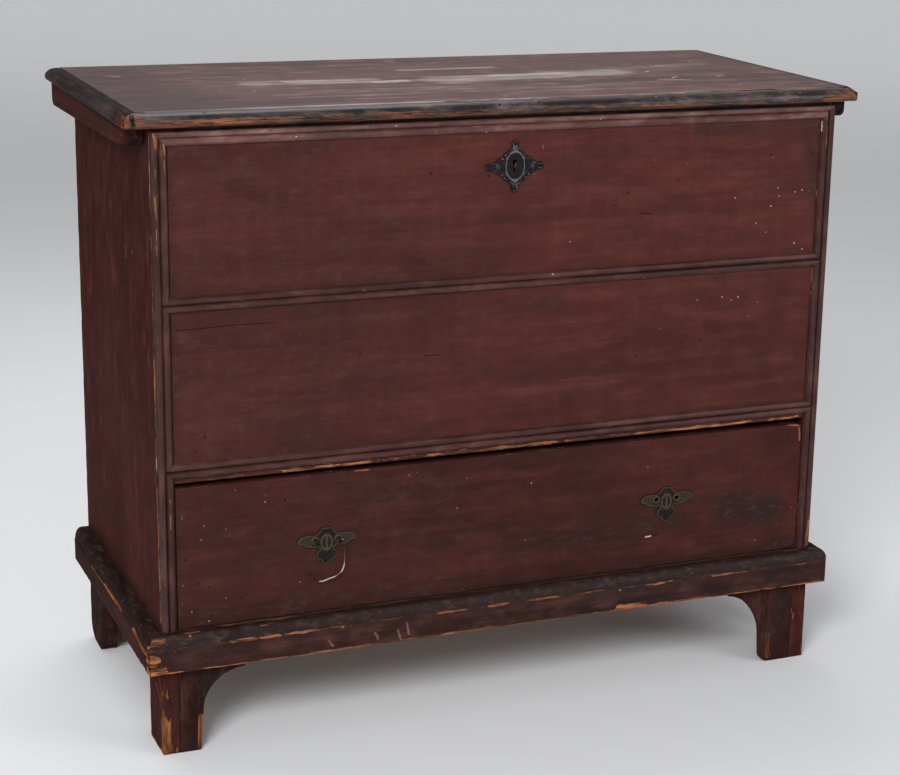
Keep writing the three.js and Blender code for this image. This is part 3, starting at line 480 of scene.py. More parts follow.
def spots(places, radius, axis=1, value=frontY, ragged=0.3, depth=0.0):  # dots at pixels of the photograph
    return [(seen(x, y, axis, value), seen(x, y, axis, value + depth), radius, ragged) for x, y in places]


def lines(places, radius, axis=1, value=frontY, ragged=0.6):  # scratches and cracks between two pixels
    return [(seen(*ends[:2], axis, value), seen(*ends[2:], axis, value), radius, ragged) for ends in places]


panelMarks = {
    "pale": spots([
        (570, 242), (735, 198), (778, 188), (779, 196), (795, 192), (802, 190), (809, 191), (771, 206),
        (756, 223), (766, 232), (802, 249), (794, 243), (722, 297), (731, 300), (738, 297), (697, 300),
    ], 0.0011, ragged=1.1),
    "dull": lines([(543, 145, 543, 148)], 0.0009, ragged=1.4),
    "bare": spots([(534, 174), (655, 160), (773, 157), (748, 316), (757, 302)], 0.0012, ragged=1.1),
    "dark": spots([
        (431, 173.5), (772, 154.5), (813, 152.6), (205, 437), (195, 452), (628, 193), (614, 205),
        (678, 180), (360, 354), (700, 340), (635, 356), (710, 259), (489, 176),
    ], 0.0019, ragged=0.7) + lines([
        (176, 331, 236, 325), (236, 325, 274, 322.5), (425, 355.5, 440, 354.8), (640, 213, 652, 214),
    ], 0.0008, ragged=1.0),
}
beadPale = [(296.3, 136.6), (396.4, 125.9), (486.3, 132.2), (600.7, 119.1), (552.7, 274.2)]
beadMarks = {
    "pale": spots(beadPale, 0.0012, value=beadY, depth=0.012)
    + lines([(822.0, 122, 821.2, 130)], 0.0022, value=beadY + 0.005, ragged=1.6),
    "bare": spots([(364, 290), (644, 278), (717, 273), (730, 275)], 0.0016, 1, beadY, 0.9, 0.012),
    "dark": spots([(814, 237), (817, 257), (492, 275)], 0.0015, 1, beadY, 0.5, 0.012)
    + lines([(820.3, 115.5, 818.8, 135)], 0.0022, value=beadY + 0.006, ragged=0.8),
}
drawerMarks = {
    "pale": spots([(265, 502), (209, 621), (531.5, 483)], 0.0011, ragged=0.9)
    + lines([(645.5, 537, 650.5, 536)], 0.0014, ragged=0.4),
    "dull": spots([
        (235, 490), (204, 526), (226, 529), (201, 540), (300, 582), (226, 598), (457, 508), (648, 467),
        (791, 507), (755, 540), (192, 612),
    ], 0.0017, ragged=0.9),
    "bare": spots([
        (265.5, 495.5), (409, 475), (417, 472.5), (467, 478), (182, 519), (183, 586), (525, 540), (182, 604),
    ], 0.0012, ragged=1.0) + lines([
        (177, 488, 207, 485.4), (355, 470.6, 368, 469.4), (788, 424.8, 798, 425.4), (799.2, 428, 799.4, 440),
    ], 0.0016, ragged=0.9),
    "dark": spots([
        (198, 584), (185, 560), (209, 587), (360, 522), (285, 500), (242, 598), (570, 530), (661, 578),
    ], 0.002, ragged=0.6) + lines([(652, 535.6, 658, 533.4)], 0.0013, ragged=0.4),
}
sideMarks = {
    "dull": lines([
        (125, 243, 126, 258), (132, 250, 132, 253), (89, 442, 89, 448), (160, 700, 156, 682),
        (161, 690, 159, 678), (87, 476, 87, 479),
    ], 0.0014, 0, leftX, 0.9),
    "dark": spots([(121, 281), (123, 403), (148, 461), (146, 400), (104, 330)], 0.0022, 0, leftX, 0.8),
}
lidMarks = {
    "pale": spots([
        (244, 79), (254, 91), (221, 91), (371, 69), (395, 83), (647, 71), (718, 76), (498, 68), (505, 96),
        (660, 79), (530, 80), (610, 74), (740, 84), (690, 62), (573, 66),
    ], 0.0024, 2, lidZ, 0.8) + lines([
        (105, 76, 120, 76.6), (658, 79, 690, 79.8), (676, 76.5, 672, 78), (400, 70.5, 424, 70),
        (385, 61.6, 394, 61.3), (542, 73, 559, 74.4), (716, 76, 724, 75.4), (645, 72, 649, 71),
    ], 0.0018, 2, lidZ, 0.9),
    "dark": spots([(86, 71), (148, 105), (174, 109), (200, 104), (268, 98)], 0.003, 2, lidZ),
}
holePixels = [(480, 107), (500, 105), (540, 103), (204, 113.5), (322, 105)]
crackPixels = [
    (131.5, 116), (132.3, 118.5), (133, 121), (133.5, 123.5), (133.5, 126), (133.2, 128.5), (133, 131),
]
noseMarks = {
    "dark": spots(holePixels, 0.0021, 1, noseY, 0.2, 0.012)
    + spots(crackPixels, 0.003, 1, noseY, 0.35, 0.012),
    "dull": spots([(656, 97), (685, 94.5), (735, 92), (780, 92), (800, 93)], 0.0014, 1, noseY, 1.2, 0.012),
}
baseMarks = {
    "dull": lines([
        (329, 641, 333, 646), (375.5, 633, 378, 639), (398, 630, 401, 640), (407, 623, 409, 634),
    ], 0.0016, value=baseY, ragged=1.8),
    "bare": spots([(343, 627), (620, 590), (190, 636), (497, 592)], 0.0024, 1, baseY, 0.6, 0.006),
}

paints = {
    "panel": makePaint("red_paint_panel", "x", redTones, specular=0.1, marks=panelMarks),
    "drawer": makePaint("red_paint_drawer", "x", drawerTones, (0.37, 0.11, 0.23), 0.1, drawerMarks),
    "side": makePaint("red_paint_side", "z", sideTones, (0.7, 0.2, 0.4), 0.002, sideMarks),
    "foot": makePaint("red_paint_foot", "z", baseTones, (0.3, 0.9, 0.1), 0.06),
    "cleat": makePaint("red_paint_cleat", "y", cleatTones, (0.5, 0.3, 0.8), 0.004),
    "beadTop": makePaint("moulding_paint_top", "x", topTones, (0.2, 0.6, 0.3), 0.22, beadMarks),
    "beadLevel": makePaint("moulding_paint_level", "x", midTones, (0.7, 0.1, 0.5), 0.22, beadMarks),
    "beadUpright": makePaint("moulding_paint_upright", "z", midTones, (0.9, 0.4, 0.6), 0.22, beadMarks),
    "noseLevel": makePaint("nosing_paint_level", "x", nosingTones, (0.1, 0.8, 0.5), 0.35, noseMarks, 0.0014),
    "noseDeep": makePaint("nosing_paint_deep", "y", nosingTones, (0.6, 0.5, 0.2), 0.002, relief=0.0014),
    "baseLevel": makePaint("base_paint_level", "x", baseTones, (0.8, 0.1, 0.7), 0.14, baseMarks, 0.001),
    "baseDeep": makePaint("base_paint_deep", "y", baseTones, (0.2, 0.2, 0.9), 0.004, relief=0.0014),
    "lidTop": makePaint("lid_paint", "x", lidTones, (0.4, 0.7, 0.9), 0.12, lidMarks),
    "pineLevel": makePine("pine_level", "x", joint=backJoint),
    "pineLower": makePine("pine_lower", "x", (0.9, 0.5, 0.37), (138, 106, 74), (102, 73, 48), 0.8, backJoint),
    "pineDeep": makePine("pine_deep", "y", (0.3, 0.2, 0.5)),
    # dark pine for the base rail, seen in the gap under the drawer: dirt, and painted shade of the gap
    "pineDirtAndShade": makePine("pine_dirt_and_shade", "x", (0.2, 0.7, 0.1), (52, 37, 27), (36, 26, 20), 0.9),
    # near-black pine for the foot blocks: painted shade, where they sit under the chest behind the feet
    "footBlock": makePine("foot_block_shaded_wood", "z", (0.5, 0.6, 0.2), (36, 26, 22), (26, 18, 16), 0.9),
    "slate": makeMetal("slate_metal", (16, 15, 16), (29, 28, 29), (96, 93, 96), 0.3, specular=0.16),
    "brass": makeMetal("old_brass", (17, 14, 11), (28, 24, 19), (66, 57, 46), 0.4, specular=0.22),
    "wire": makeMetal("bright_wire", (44, 38, 33), (76, 68, 61), (190, 182, 174), 1.0),
    "iron": makeMetal("wrought_iron", (34, 31, 29), (56, 46, 40), (84, 76, 70), 0.5),
}
print("materials ready:", len(paints))


# Boards and mouldings: a merged copy of the node, eased at its edges, cut fine and worn
def sliced(bm, axis, places):
    normal = Vector((0, 0, 0))
    normal[axis] = 1
    ahead = bm.verts[:] + bm.edges[:] + bm.faces[:]
    for place in places:
        cut = bmesh.ops.bisect_plane(bm, geom=ahead, dist=1e-7, plane_co=normal * place, plane_no=normal)
        ahead = [part for part in cut["geom"] if farEnd(part, axis) > place + 1e-6]


def farEnd(part, axis):
    if isinstance(part, bmesh.types.BMVert):
        return part.co[axis] + 2e-6
    return max(vert.co[axis] for vert in part.verts)


def evenPlaces(low, high, step, margin):
    count = max(1, round((high - low - 2 * margin) / step))
    return [low + margin + (high - low - 2 * margin) * i / count for i in range(count + 1)]


def capsule(points, start, end, radius):  # 1 on the line from start to end, 0 at that radius
    start, end = np.array(start), np.array(end)
    along = end - start
    share = np.clip((points - start) @ along / max(float(along @ along), 1e-12), 0, 1)
    gap = np.linalg.norm(points - start - share[:, None] * along, axis=1)
    return np.clip(1 - gap / radius, 0, 1)


def paintAmount(mesh, name, values):
    layer = mesh.attributes.new(name, "FLOAT", "POINT")
    layer.data.foreach_set("value", np.clip(values, 0, 1.4).astype(np.float32))


def arrisPoints(bm, limit=0.6, gap=0.003):
    found = []
    for edge in bm.edges:
        if edge.is_manifold and edge.calc_face_angle_signed(0) > limit:
            a, b = (vert.co for vert in edge.verts)
            steps = max(1, int((b - a).length / gap))
            found += [a.lerp(b, i / steps) for i in range(steps + 1)]
    return found


def gapsTo(points, places):
    if not places:
        return np.full(len(points), 1.0)
    tree = kdtree.KDTree(len(places))
    for i, point in enumerate(places):
        tree.insert(point, i)
    tree.balance()
    return np.array([tree.find(point)[2] for point in points])


def wobble(points, frequency, seed):
    shift = Vector((seed, seed * 0.7, 0))
    return np.array([noise.noise(Vector(point) * frequency + shift) for point in points])


def roundedOff(points, axes, corner, inward, radius, level=None, half=0.01):
    first, second = axes  # an arris is drawn back onto a quarter round, or with a level onto a ball
    middle = (corner[0] + inward[0] * radius, corner[1] + inward[1] * radius)
    a = (middle[0] - points[:, first]) * inward[0]
    b = (middle[1] - points[:, second]) * inward[1]
    rise = 0 if level is None else (points[:, 2] - level) * radius / half
    away = np.sqrt(a ** 2 + b ** 2 + rise ** 2)
    near = (a > 0) & (b > 0) & (away > radius) & (away < radius * 1.8)
    share = np.where(near, radius / np.maximum(away, 1e-9), 1)
    points[:, first] = middle[0] - inward[0] * a * share
    points[:, second] = middle[1] - inward[1] * b * share
    if level is not None:
        points[:, 2] = level + (points[:, 2] - level) * share


def drooped(points, corner, reach, level, share):  # a worn corner sinks towards its tip
    away = np.hypot(points[:, 0] - corner[0], points[:, 1] - corner[1]) / reach
    fall = share * np.clip(1 - away, 0, 1) ** 1.2
    points[:, 2] -= np.maximum(points[:, 2] - level, 0) * fall


def meshArrays(mesh):
    count = len(mesh.vertices)
    points, normals = np.zeros(count * 3), np.zeros(count * 3)
    mesh.vertices.foreach_get("co", points)
    mesh.vertices.foreach_get("normal", normals)
    return points.reshape(-1, 3), normals.reshape(-1, 3)


def mergedNode(name):
    bm = bmesh.new()
    bm.from_mesh(nodes[name].data)
    bmesh.ops.remove_doubles(bm, verts=bm.verts[:], dist=1e-5)
    bmesh.ops.dissolve_limit(bm, angle_limit=math.radians(0.8), verts=bm.verts[:], edges=bm.edges[:],
                             use_dissolve_boundaries=False)
    return bm


def easeEdges(bm, amount, shortest):
    sharp = [edge for edge in bm.edges if edge.is_manifold and abs(edge.calc_face_angle_signed(0)) > 0.6
             and edge.calc_length() > shortest]
    bmesh.ops.bevel(bm, geom=sharp, offset=amount, offset_type="OFFSET", segments=2, profile=0.5,
                    affect="EDGES", clamp_overlap=True, material=-1)


def meshFrom(bm, name):
    mesh = bpy.data.meshes.new(name)
    bm.to_mesh(mesh)
    bm.free()
    return mesh


bodyOf = {node: body for body, members in frame["record"]["behaviour"]["bodies"].items() for node in members}


def addPiece(mesh, material, body, node=None):  # a finished mesh, in place of a node or beside them
    made = bpy.data.objects.new(mesh.name, mesh)
    mesh.materials.append(material)
    scene.collection.objects.link(made)
    if node:
        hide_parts(node)
    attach(made, body)


def placePiece(name, mesh, material, crease):
    mesh.shade_smooth()
    mesh.set_sharp_from_angle(angle=math.radians(crease))
    addPiece(mesh, material, bodyOf[name], name)


def wornCopy(name, material, look):  # the look's keys are told above the looks
    bm = mergedNode(name)
    arrises = arrisPoints(bm)
    if look.get("ease"):
        easeEdges(bm, look["ease"], look.get("easeFrom", 0.004))
    low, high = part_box(name)
    for axis, step in enumerate(look["cut"]):
        if step:
            sliced(bm, axis, evenPlaces(low[axis], high[axis], step, look.get("margin", 0.003)))
    for axis, places in look.get("slices", {}).items():
        sliced(bm, axis, places)
    mesh = meshFrom(bm, name + "_worn")
    points, normals = meshArrays(mesh)
    for settings in look.get("rounds", {}).values():
        roundedOff(points, *settings)
    for settings in look.get("droops", {}).values():
        drooped(points, *settings)
    if "rounds" in look:
        mesh.vertices.foreach_set("co", points.ravel())
        mesh.update()
        points, normals = meshArrays(mesh)
    count = len(points)
    edge = np.exp(-((gapsTo(points, arrises) / look.get("reach", 0.0035)) ** 2))
    close = edge > 0.02
    wear = look.get("arris", 0.0) * edge
    if close.any():
        wear[close] *= 0.8 + 1.2 * wobble(points[close], 14, 3.1)
    thin = np.clip(0.95 + look.get("patchy", 0.9) * wobble(points, 24, 8.8), 0.3, 1.15)
    for start, end, radius, strength in look.get("rubs", {}).values():
        rubbed = strength * np.minimum(1, 1.7 * capsule(points, start, end, radius))
        wear = np.maximum(wear, rubbed if strength >= 1 else rubbed * thin)
    depth = np.zeros(count)
    if look.get("chip") and close.any():
        rough = wobble(points[close], 160, 1.3) * 0.6 + wobble(points[close], 45, 5.9) * 0.9
        depth[close] += look["chip"] * edge[close] * np.clip(rough + 0.15, 0, 1)
    if look.get("gnaw"):  # broken, splintered wood where the paint is gone
        gone = wear > 0.3
        rough = wobble(points[gone] * np.array([0.35, 1, 1]), 260, 2.7) + wobble(points[gone], 60, 7.7)
        depth[gone] += look["gnaw"] * np.clip(wear[gone], 0, 1) * np.clip(rough + 0.3, 0, 1)
    for start, end, radius, strength in look.get("dents", {}).values():
        depth += strength * capsule(points, start, end, radius) ** 0.7
    points -= normals * depth[:, None]
    mesh.vertices.foreach_set("co", points.ravel())
    paintAmount(mesh, "wear", wear)
    # stain amounts hold stains, dirt and painted shade; pale amounts hold chalk and painted highlights
    for label in ("stain_and_shade", "pale"):
        amount = np.zeros(count)
        for start, end, radius, strength in look.get(label + "s", {}).values():
            near = np.minimum(1, 1.4 * capsule(points, start, end, radius))
            amount = np.maximum(amount, strength * near * near * (3 - 2 * near))
        if label == "pale" and "paleAbove" in look:
            amount *= points[:, 2] > look["paleAbove"]
        if label == "stain_and_shade" and "sootAbove" in look:  # dirt and wear on the part that faces up
            share = np.clip((points[:, 2] - look["sootAbove"]) / 0.004, 0, 1)
            amount = np.maximum(amount, share * look.get("soot", 0.9))
        paintAmount(mesh, label, amount)
    placePiece(name, mesh, material, look.get("crease", 40))


def mark(x0, y0, x1, y1, radius, strength, axis=1, value=frontY):  # between two pixels on a plane
    return (seen(x0, y0, axis, value), seen(x1, y1, axis, value), radius, strength)


def beadMark(*settings):
    return mark(*settings, value=beadY)


def baseMark(*settings):
    return mark(*settings, value=baseY)


def lidMark(*settings):
    return mark(*settings, axis=2, value=lidZ)


def along(start, end, radius, strength):  # between two points, or with a letter along that axis
    return (Vector(start), Vector(end), radius, strength)


def alongX(x0, x1, y, z, radius, strength):
    return along((x0, y, z), (x1, y, z), radius, strength)


def alongY(x, y0, y1, z, radius, strength):
    return along((x, y0, z), (x, y1, z), radius, strength)


def alongZ(x, y, z0, z1, radius, strength):
    return along((x, y, z0), (x, y, z1), radius, strength)


escutcheonMiddle = (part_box("escutcheon")[0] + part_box("escutcheon")[1]) / 2
cleatLow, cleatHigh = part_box("lid_cleat_left")
mitreLeft = Vector((noseLow.x, noseY, noseLow.z + 0.009))
crackPlace = seen(132.6, 122, 1, noseY)
mitreRight = Vector((noseHigh.x - 0.008, noseY + 0.008, noseLow.z + 0.009))
baseCorner = Vector((baseLow.x, baseY, baseLow.z))
drawerLow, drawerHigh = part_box("drawer_front")
lidCorners = {  # corners of the nosings that knocks have rounded, seen from above
    "right": ((0, 1), (noseHigh.x, noseY), (-1, 1), 0.011, noseLow.z + 0.006, 0.011),
    "left": ((0, 1), (noseLow.x, noseY), (1, 1), 0.006, (noseLow.z + noseHigh.z) / 2, 0.012),
}
lidDroops = {
    "right": ((noseHigh.x, noseY), 0.031, noseLow.z + 0.003, 0.62),
    "left": ((noseLow.x, noseY), 0.02, noseLow.z + 0.003, 0.2),
}
baseCorners = {
    "right": ((0, 1), (baseHigh.x, baseY), (-1, 1), 0.005),
    "left": ((0, 1), (baseLow.x, baseY), (1, 1), 0.003),
}

rearFootY = min(vert.co.y for vert in nodes["side_left"].data.vertices if vert.co.z < 1e-4 and vert.co.y > 0)
bracketX = (*(end.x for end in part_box("foot_bracket_left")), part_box("foot_bracket_right")[1].x)

nosingCut = {"margin": 0.001, "crease": 50, "rounds": lidCorners, "droops": lidDroops}
footCut = {"paint": "foot", "cut": (0.004, 0.004, 0.004), "ease": 0.0007, "easeFrom": 0.0008}
baseSoot = baseFillet - 0.001
baseCut = {"margin": 0.002, "crease": 40, "gnaw": 0.0012, "rounds": baseCorners, "sootAbove": baseSoot}

# Keys of a look: cut, spacing of the cuts along x, y and z; slices, more cuts; margin, from an end to the
# first cut; ease and easeFrom, bevel of edges longer than that; crease, degrees from which edges stay sharp;
# arris and reach, wear along sharp edges; chip, gnaw and dents, depth of damage; rubs, stains and pales, worn
# places, dark places (stains, dirt and painted shade) and pale places (chalk and painted highlights); patchy,
# how uneven rubs are; rounds and droops, knocked corners; sootAbove and soot, dirt above a level; paleAbove,
# no chalk or painted highlight below it
looks = {
    "side_left": {
        "paint": "side", "cut": (0, 0.007, 0.007), "ease": 0.0011, "arris": 0.1, "chip": 0.0006,
        "rubs": {
            "frontArris": alongZ(leftX, frontY, 0.19, 0.66, 0.0026, 0.6),
            "footCorner": alongZ(leftX, frontY, 0.004, 0.085, 0.013, 0.9),
            "footEnd": alongY(leftX, frontY + 0.01, frontY + 0.05, 0.0, 0.008, 0.6),
            "rearFootLine": mark(98, 629, 98, 641, 0.003, 1.0, 0, leftX),
        },
        "stain_and_shades": {
            # painted shade at the top of the side, under the lid and its cleat
            "cleatShadow": alongY(leftX, -0.2, 0.23, 0.86, 0.05, 0.5),
            "overBase": alongY(leftX, -0.2, 0.23, 0.178, 0.03, 0.6),
            "rearFoot": along((leftX, 0.17, 0.02), (leftX, 0.23, 0.1), 0.09, 0.9),
        },
        # painted highlight: a pale line down the lit front arris
        "pales": {"frontArris": alongZ(leftX, frontY, 0.19, 0.852, 0.0014, 0.75)},
        "rounds": {
            "rearFoot": ((1, 2), (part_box("side_left")[1].y, 0), (-1, 1), 0.017),
            "rearFootFront": ((1, 2), (rearFootY, 0), (1, 1), 0.012),
        },
    },
    "side_right": {
        "paint": "side", "cut": (0, 0.007, 0.007), "ease": 0.0011, "arris": 0.35, "chip": 0.0006,
        # painted shade at the top of the side, under the lid and its cleat
        "stain_and_shades": {"cleatShadow": alongY(rightX, -0.2, 0.23, 0.86, 0.05, 0.5)},
    },
    "front_board": {
        "paint": "panel", "cut": (0.006, 0, 0.006), "ease": 0.0008, "easeFrom": 0.02, "arris": 0.1,
        "rubs": {
            "lowerStrip": alongX(-0.47, 0.47, frontY, 0.3885, 0.0055, 0.66),
            "keyhole": along(escutcheonMiddle, escutcheonMiddle + Vector((0, 0.02, -0.003)), 0.008, 1.4),
        },
        "stain_and_shades": {
            # painted shadow of the lid: dark along the board's top strip under the nosing
            "lidShadow": alongX(-0.49, 0.49, frontY, 0.8565, 0.008, 1.4),
            "cornerRight": mark(812, 125, 824, 215, 0.028, 0.5),
            "cornerTop": mark(700, 130, 815, 122, 0.014, 0.4),
            "topLeft": mark(290, 148, 330, 146, 0.02, 0.5),
            # painted shadow of the left upright moulding on the panels, and painted shade making the left
            # darker
            "leftBeadShadow": mark(168, 150, 172, 290, 0.013, 0.6),
            "leftBeadShadowLow": mark(172, 320, 176, 455, 0.013, 0.6),
            "shadeLeft": alongX(-0.5, -0.4, frontY, 0.62, 0.5, 0.3),
            "knotOne": mark(627, 225, 629, 225, 0.006, 0.7),
            "knotTwo": mark(676, 246, 677, 248, 0.005, 0.6),
            "knotThree": mark(615, 204, 617, 204, 0.005, 0.5),
            "knotFour": mark(671, 292, 673, 292, 0.006, 0.5),
            "secondTop": mark(420, 320, 560, 300, 0.02, 0.3),
            "secondLow": mark(200, 458, 420, 440, 0.016, 0.35),
            "firstLow": mark(200, 292, 500, 268, 0.014, 0.35),
        },
    },
    "drawer_front": {
        "paint": "drawer", "cut": (0.006, 0, 0.006), "ease": 0.0009, "easeFrom": 0.01, "arris": 0.2,
        "rubs": {
            "topLeft": mark(177, 487, 208, 484, 0.004, 1.0),
            "topRight": mark(790, 424.5, 800, 426, 0.0035, 0.9),
        },
        "stain_and_shades": {
            "right": mark(728, 508, 772, 508, 0.034, 0.9), "lowRight": mark(778, 542, 795, 547, 0.016, 0.9),
            "middle": mark(425, 549, 452, 541, 0.014, 0.7),
            "lowLeft": mark(180, 618, 480, 578, 0.016, 0.45), "wide": mark(690, 520, 500, 550, 0.022, 0.4),
            "upper": mark(372, 500, 420, 490, 0.02, 0.35),
            # painted shadow of the left upright moulding on the drawer, and painted shade making the left
            # darker
            "leftBeadShadowDrawer": mark(178, 495, 179, 615, 0.009, 0.5),
            "shadeLeft": alongX(-0.5, -0.3, frontY, 0.28, 0.4, 0.16),
            "lowEdge": alongX(drawerLow.x, drawerHigh.x, frontY, drawerLow.z, 0.012, 0.5),
        },
        # painted highlight along the drawer's lit top arris
        "pales": {
            "topEdgeHighlight": alongX(0.0, drawerHigh.x, frontY, drawerHigh.z, 0.0026, 0.75),
            "topEdgeHighlightLeft": alongX(drawerLow.x, 0.0, frontY, drawerHigh.z, 0.0022, 0.3),
        },
    },
    "lid_board": {
        "paint": "lidTop", "cut": (0.006, 0.006, 0), "ease": 0.0006, "easeFrom": 0.02, "arris": 0.1,
        "paleAbove": lidZ - 0.003,
        "rubs": {
            "frontEdge": alongX(-0.1, 0.25, quirkY, lidZ, 0.0034, 0.5),
            "frontRight": alongX(0.25, 0.51, quirkY, lidZ, 0.005, 0.68),
        },
        "stain_and_shades": {
            "leftEnd": lidMark(95, 75, 180, 108, 0.12, 0.55),
            "leftFront": lidMark(150, 108, 330, 99, 0.05, 0.5),
            "scuff": lidMark(104, 91, 125, 92, 0.02, 0.7),
            "scuffTwo": lidMark(128, 84, 140, 84, 0.012, 0.5),
            # painted shade in the quirk along the lid board's left edge
            "quirkShadeLeft": alongY(boardLeftX, quirkY, 0.245, lidZ, 0.0028, 1.3),
        },
        "pales": {
            # painted highlight: the pale line along the lid board's lit front arris
            "edge": alongX(-0.5, 0.5, quirkY, lidZ, 0.009, 0.95),
            "left": lidMark(252, 84, 370, 80, 0.04, 0.8),
            "leftCore": lidMark(290, 82, 350, 80.5, 0.022, 1.1),
            "patch": lidMark(380, 82, 402, 80.5, 0.022, 1.0),
            "back": lidMark(400, 70, 490, 67, 0.016, 0.8),
            "middle": lidMark(440, 80, 610, 72, 0.06, 0.85),
            "middleCore": lidMark(495, 76, 560, 73, 0.022, 1.05),
            "right": lidMark(600, 70, 700, 64, 0.05, 0.55),
            # painted sheen: a broad pale veil over the front of the lid
            "paintedSheen": lidMark(300, 94, 620, 84, 0.07, 0.5),
        },
    },
    "lid_moulding_front": {
        "paint": "noseLevel", "cut": (0.003, 0, 0.0022), **nosingCut, "gnaw": 0.0016, "patchy": 0.6,
        "slices": {0: [crackPlace.x + step for step in (-0.002, -0.0012, 0, 0.0012, 0.002)]},
        "rubs": {
            "left": alongX(noseLow.x, -0.12, noseY, noseFaceZ, 0.0105, 0.9),
            "middle": alongX(-0.12, 0.12, noseY, noseFaceZ, 0.0085, 0.8),
            "right": along((0.12, noseY, noseFaceZ - 0.001), (0.46, noseY, noseFaceZ - 0.0015), 0.0065, 0.68),
            "rightTip": along((0.475, noseY, noseFaceZ + 0.001), mitreRight, 0.0105, 1.2),
            "rightEdge": alongX(0.3, noseHigh.x - 0.02, quirkY - 0.001, lidZ, 0.005, 0.72),
            "leftTip": along(mitreLeft, mitreLeft + Vector((0.02, 0, 0.002)), 0.014, 1.0),
        },
        # painted shade in the quirk behind the front nosing
        "stain_and_shades": {"quirkShade": alongX(noseLow.x + 0.02, noseHigh.x - 0.02, quirkY - 0.001, lidZ, 0.0032, 1.4)},
        "dents": {
            "left": alongX(-0.53, -0.42, noseY, noseFaceZ, 0.006, 0.0012),
            "notch": alongX(-0.3, -0.27, noseY, noseFaceZ, 0.006, 0.001),
            "crack": along(
                crackPlace - Vector((0, 0, 0.009)), crackPlace + Vector((0, 0.006, 0.008)), 0.0026, 0.01,
            ),
        },
    },
    "lid_moulding_left": {
        "paint": "noseDeep", "cut": (0.0022, 0.003, 0.0022), **nosingCut, "gnaw": 0.0016,
        "rubs": {
            "tip": along(mitreLeft, mitreLeft + Vector((0.002, 0.014, 0.0)), 0.015, 1.25),
            "tipTop": along(
                mitreLeft + Vector((0.008, 0.008, 0.009)),
                mitreLeft + Vector((0.014, 0.02, 0.01)), 0.006, 0.8,
            ),
        },
        "stain_and_shades": {
            "all": alongY(noseLow.x, -0.18, 0.24, 0.872, 0.03, 0.5),
            # painted shade in the quirk behind the left nosing
            "quirkShade": alongY(boardLeftX - 0.001, quirkY, 0.24, lidZ, 0.003, 1.4),
        },
    },
    "lid_moulding_right": {
        "paint": "noseDeep", "cut": (0.0022, 0.003, 0.0022), **nosingCut, "gnaw": 0.001,
        "rubs": {
            "tip": along(mitreRight, mitreRight + Vector((0.006, 0.012, -0.002)), 0.018, 1.3),
            "edge": alongY(noseHigh.x - 0.003, -0.2, 0.2, lidZ - 0.004, 0.004, 0.5),
        },
    },
    "lid_cleat_left": {
        "paint": "cleat", "cut": (0.003, 0.003, 0.002), "ease": 0.0012, "easeFrom": 0.001, "arris": 0.15,
        "rounds": {
            "frontEnd": ((1, 2), (cleatLow.y, cleatLow.z), (1, 1), 0.012),
            "inner": ((0, 2), (cleatHigh.x, cleatLow.z), (-1, 1), 0.012),
        },
        # painted shadow: dark on the cleat's front end and under the nosing
        "stain_and_shades": {
            "frontEnd": along(
                (cleatLow.x + 0.014, cleatLow.y, 0.83), (cleatHigh.x, cleatLow.y, 0.85), 0.018, 1.2,
            ),
            "line": alongY(cleatLow.x, -0.2, 0.23, cleatLow.z + 0.007, 0.0035, 0.9),
            "nosingShadow": alongY(cleatLow.x, -0.2, 0.23, cleatHigh.z, 0.008, 1.0),
        },
        "rubs": {"endCorner": alongZ(cleatLow.x, cleatLow.y, 0.846, 0.857, 0.004, 0.6)},
    },
    "lid_cleat_right": {
        "paint": "cleat", "cut": (0.004, 0.004, 0.004), "ease": 0.0012, "easeFrom": 0.001, "arris": 0.1,
        # painted shadow on the cleat's front end
        "stain_and_shades": {"frontEnd": alongX(rightX, rightX + 0.024, cleatLow.y, 0.84, 0.03, 1.3)},
    },
    "foot_bracket_left": {
        **footCut, "arris": 0.15,
        "rubs": {"curveArris": mark(199, 750, 201, 716, 0.0045, 1.15)},
        "stain_and_shades": {
            "shade": mark(205, 690, 210, 672, 0.015, 0.6), "foot": mark(170, 745, 195, 742, 0.012, 0.5),
            "joints": alongZ(bracketX[0], frontY, 0, 0.13, 0.003, 1.3),
            "wingJoint": alongZ(bracketX[1], frontY, 0, 0.13, 0.003, 1.3),
        },
    },
    "foot_bracket_wing": {
        **footCut, "arris": 0.1,
        "stain_and_shades": {"shade": mark(212, 690, 220, 672, 0.02, 0.7)},
    },
    "foot_bracket_right": {
        **footCut, "arris": 0.2,
        "rubs": {
            "curveArris": mark(768, 636, 768, 656, 0.006, 1.1),
            "corner": mark(795, 643, 799, 655, 0.005, 1.0),
        },
        "stain_and_shades": {
            "shade": mark(765, 640, 790, 600, 0.02, 0.5),
            "joint": alongZ(bracketX[2], frontY, 0, 0.13, 0.003, 1.3),
        },
    },
    "moulding_top": {
        "paint": "beadTop", "cut": (0.004, 0, 0), "crease": 35,
        "stain_and_shades": {
            # painted shadow of the lid along the top moulding's upper bead
            "lidShadow": alongX(topLow.x, topHigh.x, topLow.y + 0.004, topHigh.z, 0.0055, 1.4),
            "leftEnd": alongX(topLow.x, topLow.x + 0.03, topLow.y, 0.842, 0.04, 0.4),
        },
    },
    "moulding_mid": {
        "paint": "beadLevel", "cut": (0.004, 0, 0), "crease": 35,
        "stain_and_shades": {"top": mark(180, 298, 800, 255, 0.006, 0.4)},
    },
    "moulding_lower": {
        "paint": "beadLevel", "cut": (0.004, 0, 0), "crease": 35,
        "rubs": {"lowEdge": alongX(-0.47, -0.1, -0.2265, 0.3925, 0.004, 0.55)},
    },
    "moulding_left": {
        "paint": "beadUpright", "cut": (0, 0, 0.003), "crease": 35,
        "rubs": {
            "outerTop": beadMark(155, 133, 157, 147, 0.005, 1.0),
            "outerMiddle": beadMark(155.6, 199, 156.6, 222, 0.003, 0.95),
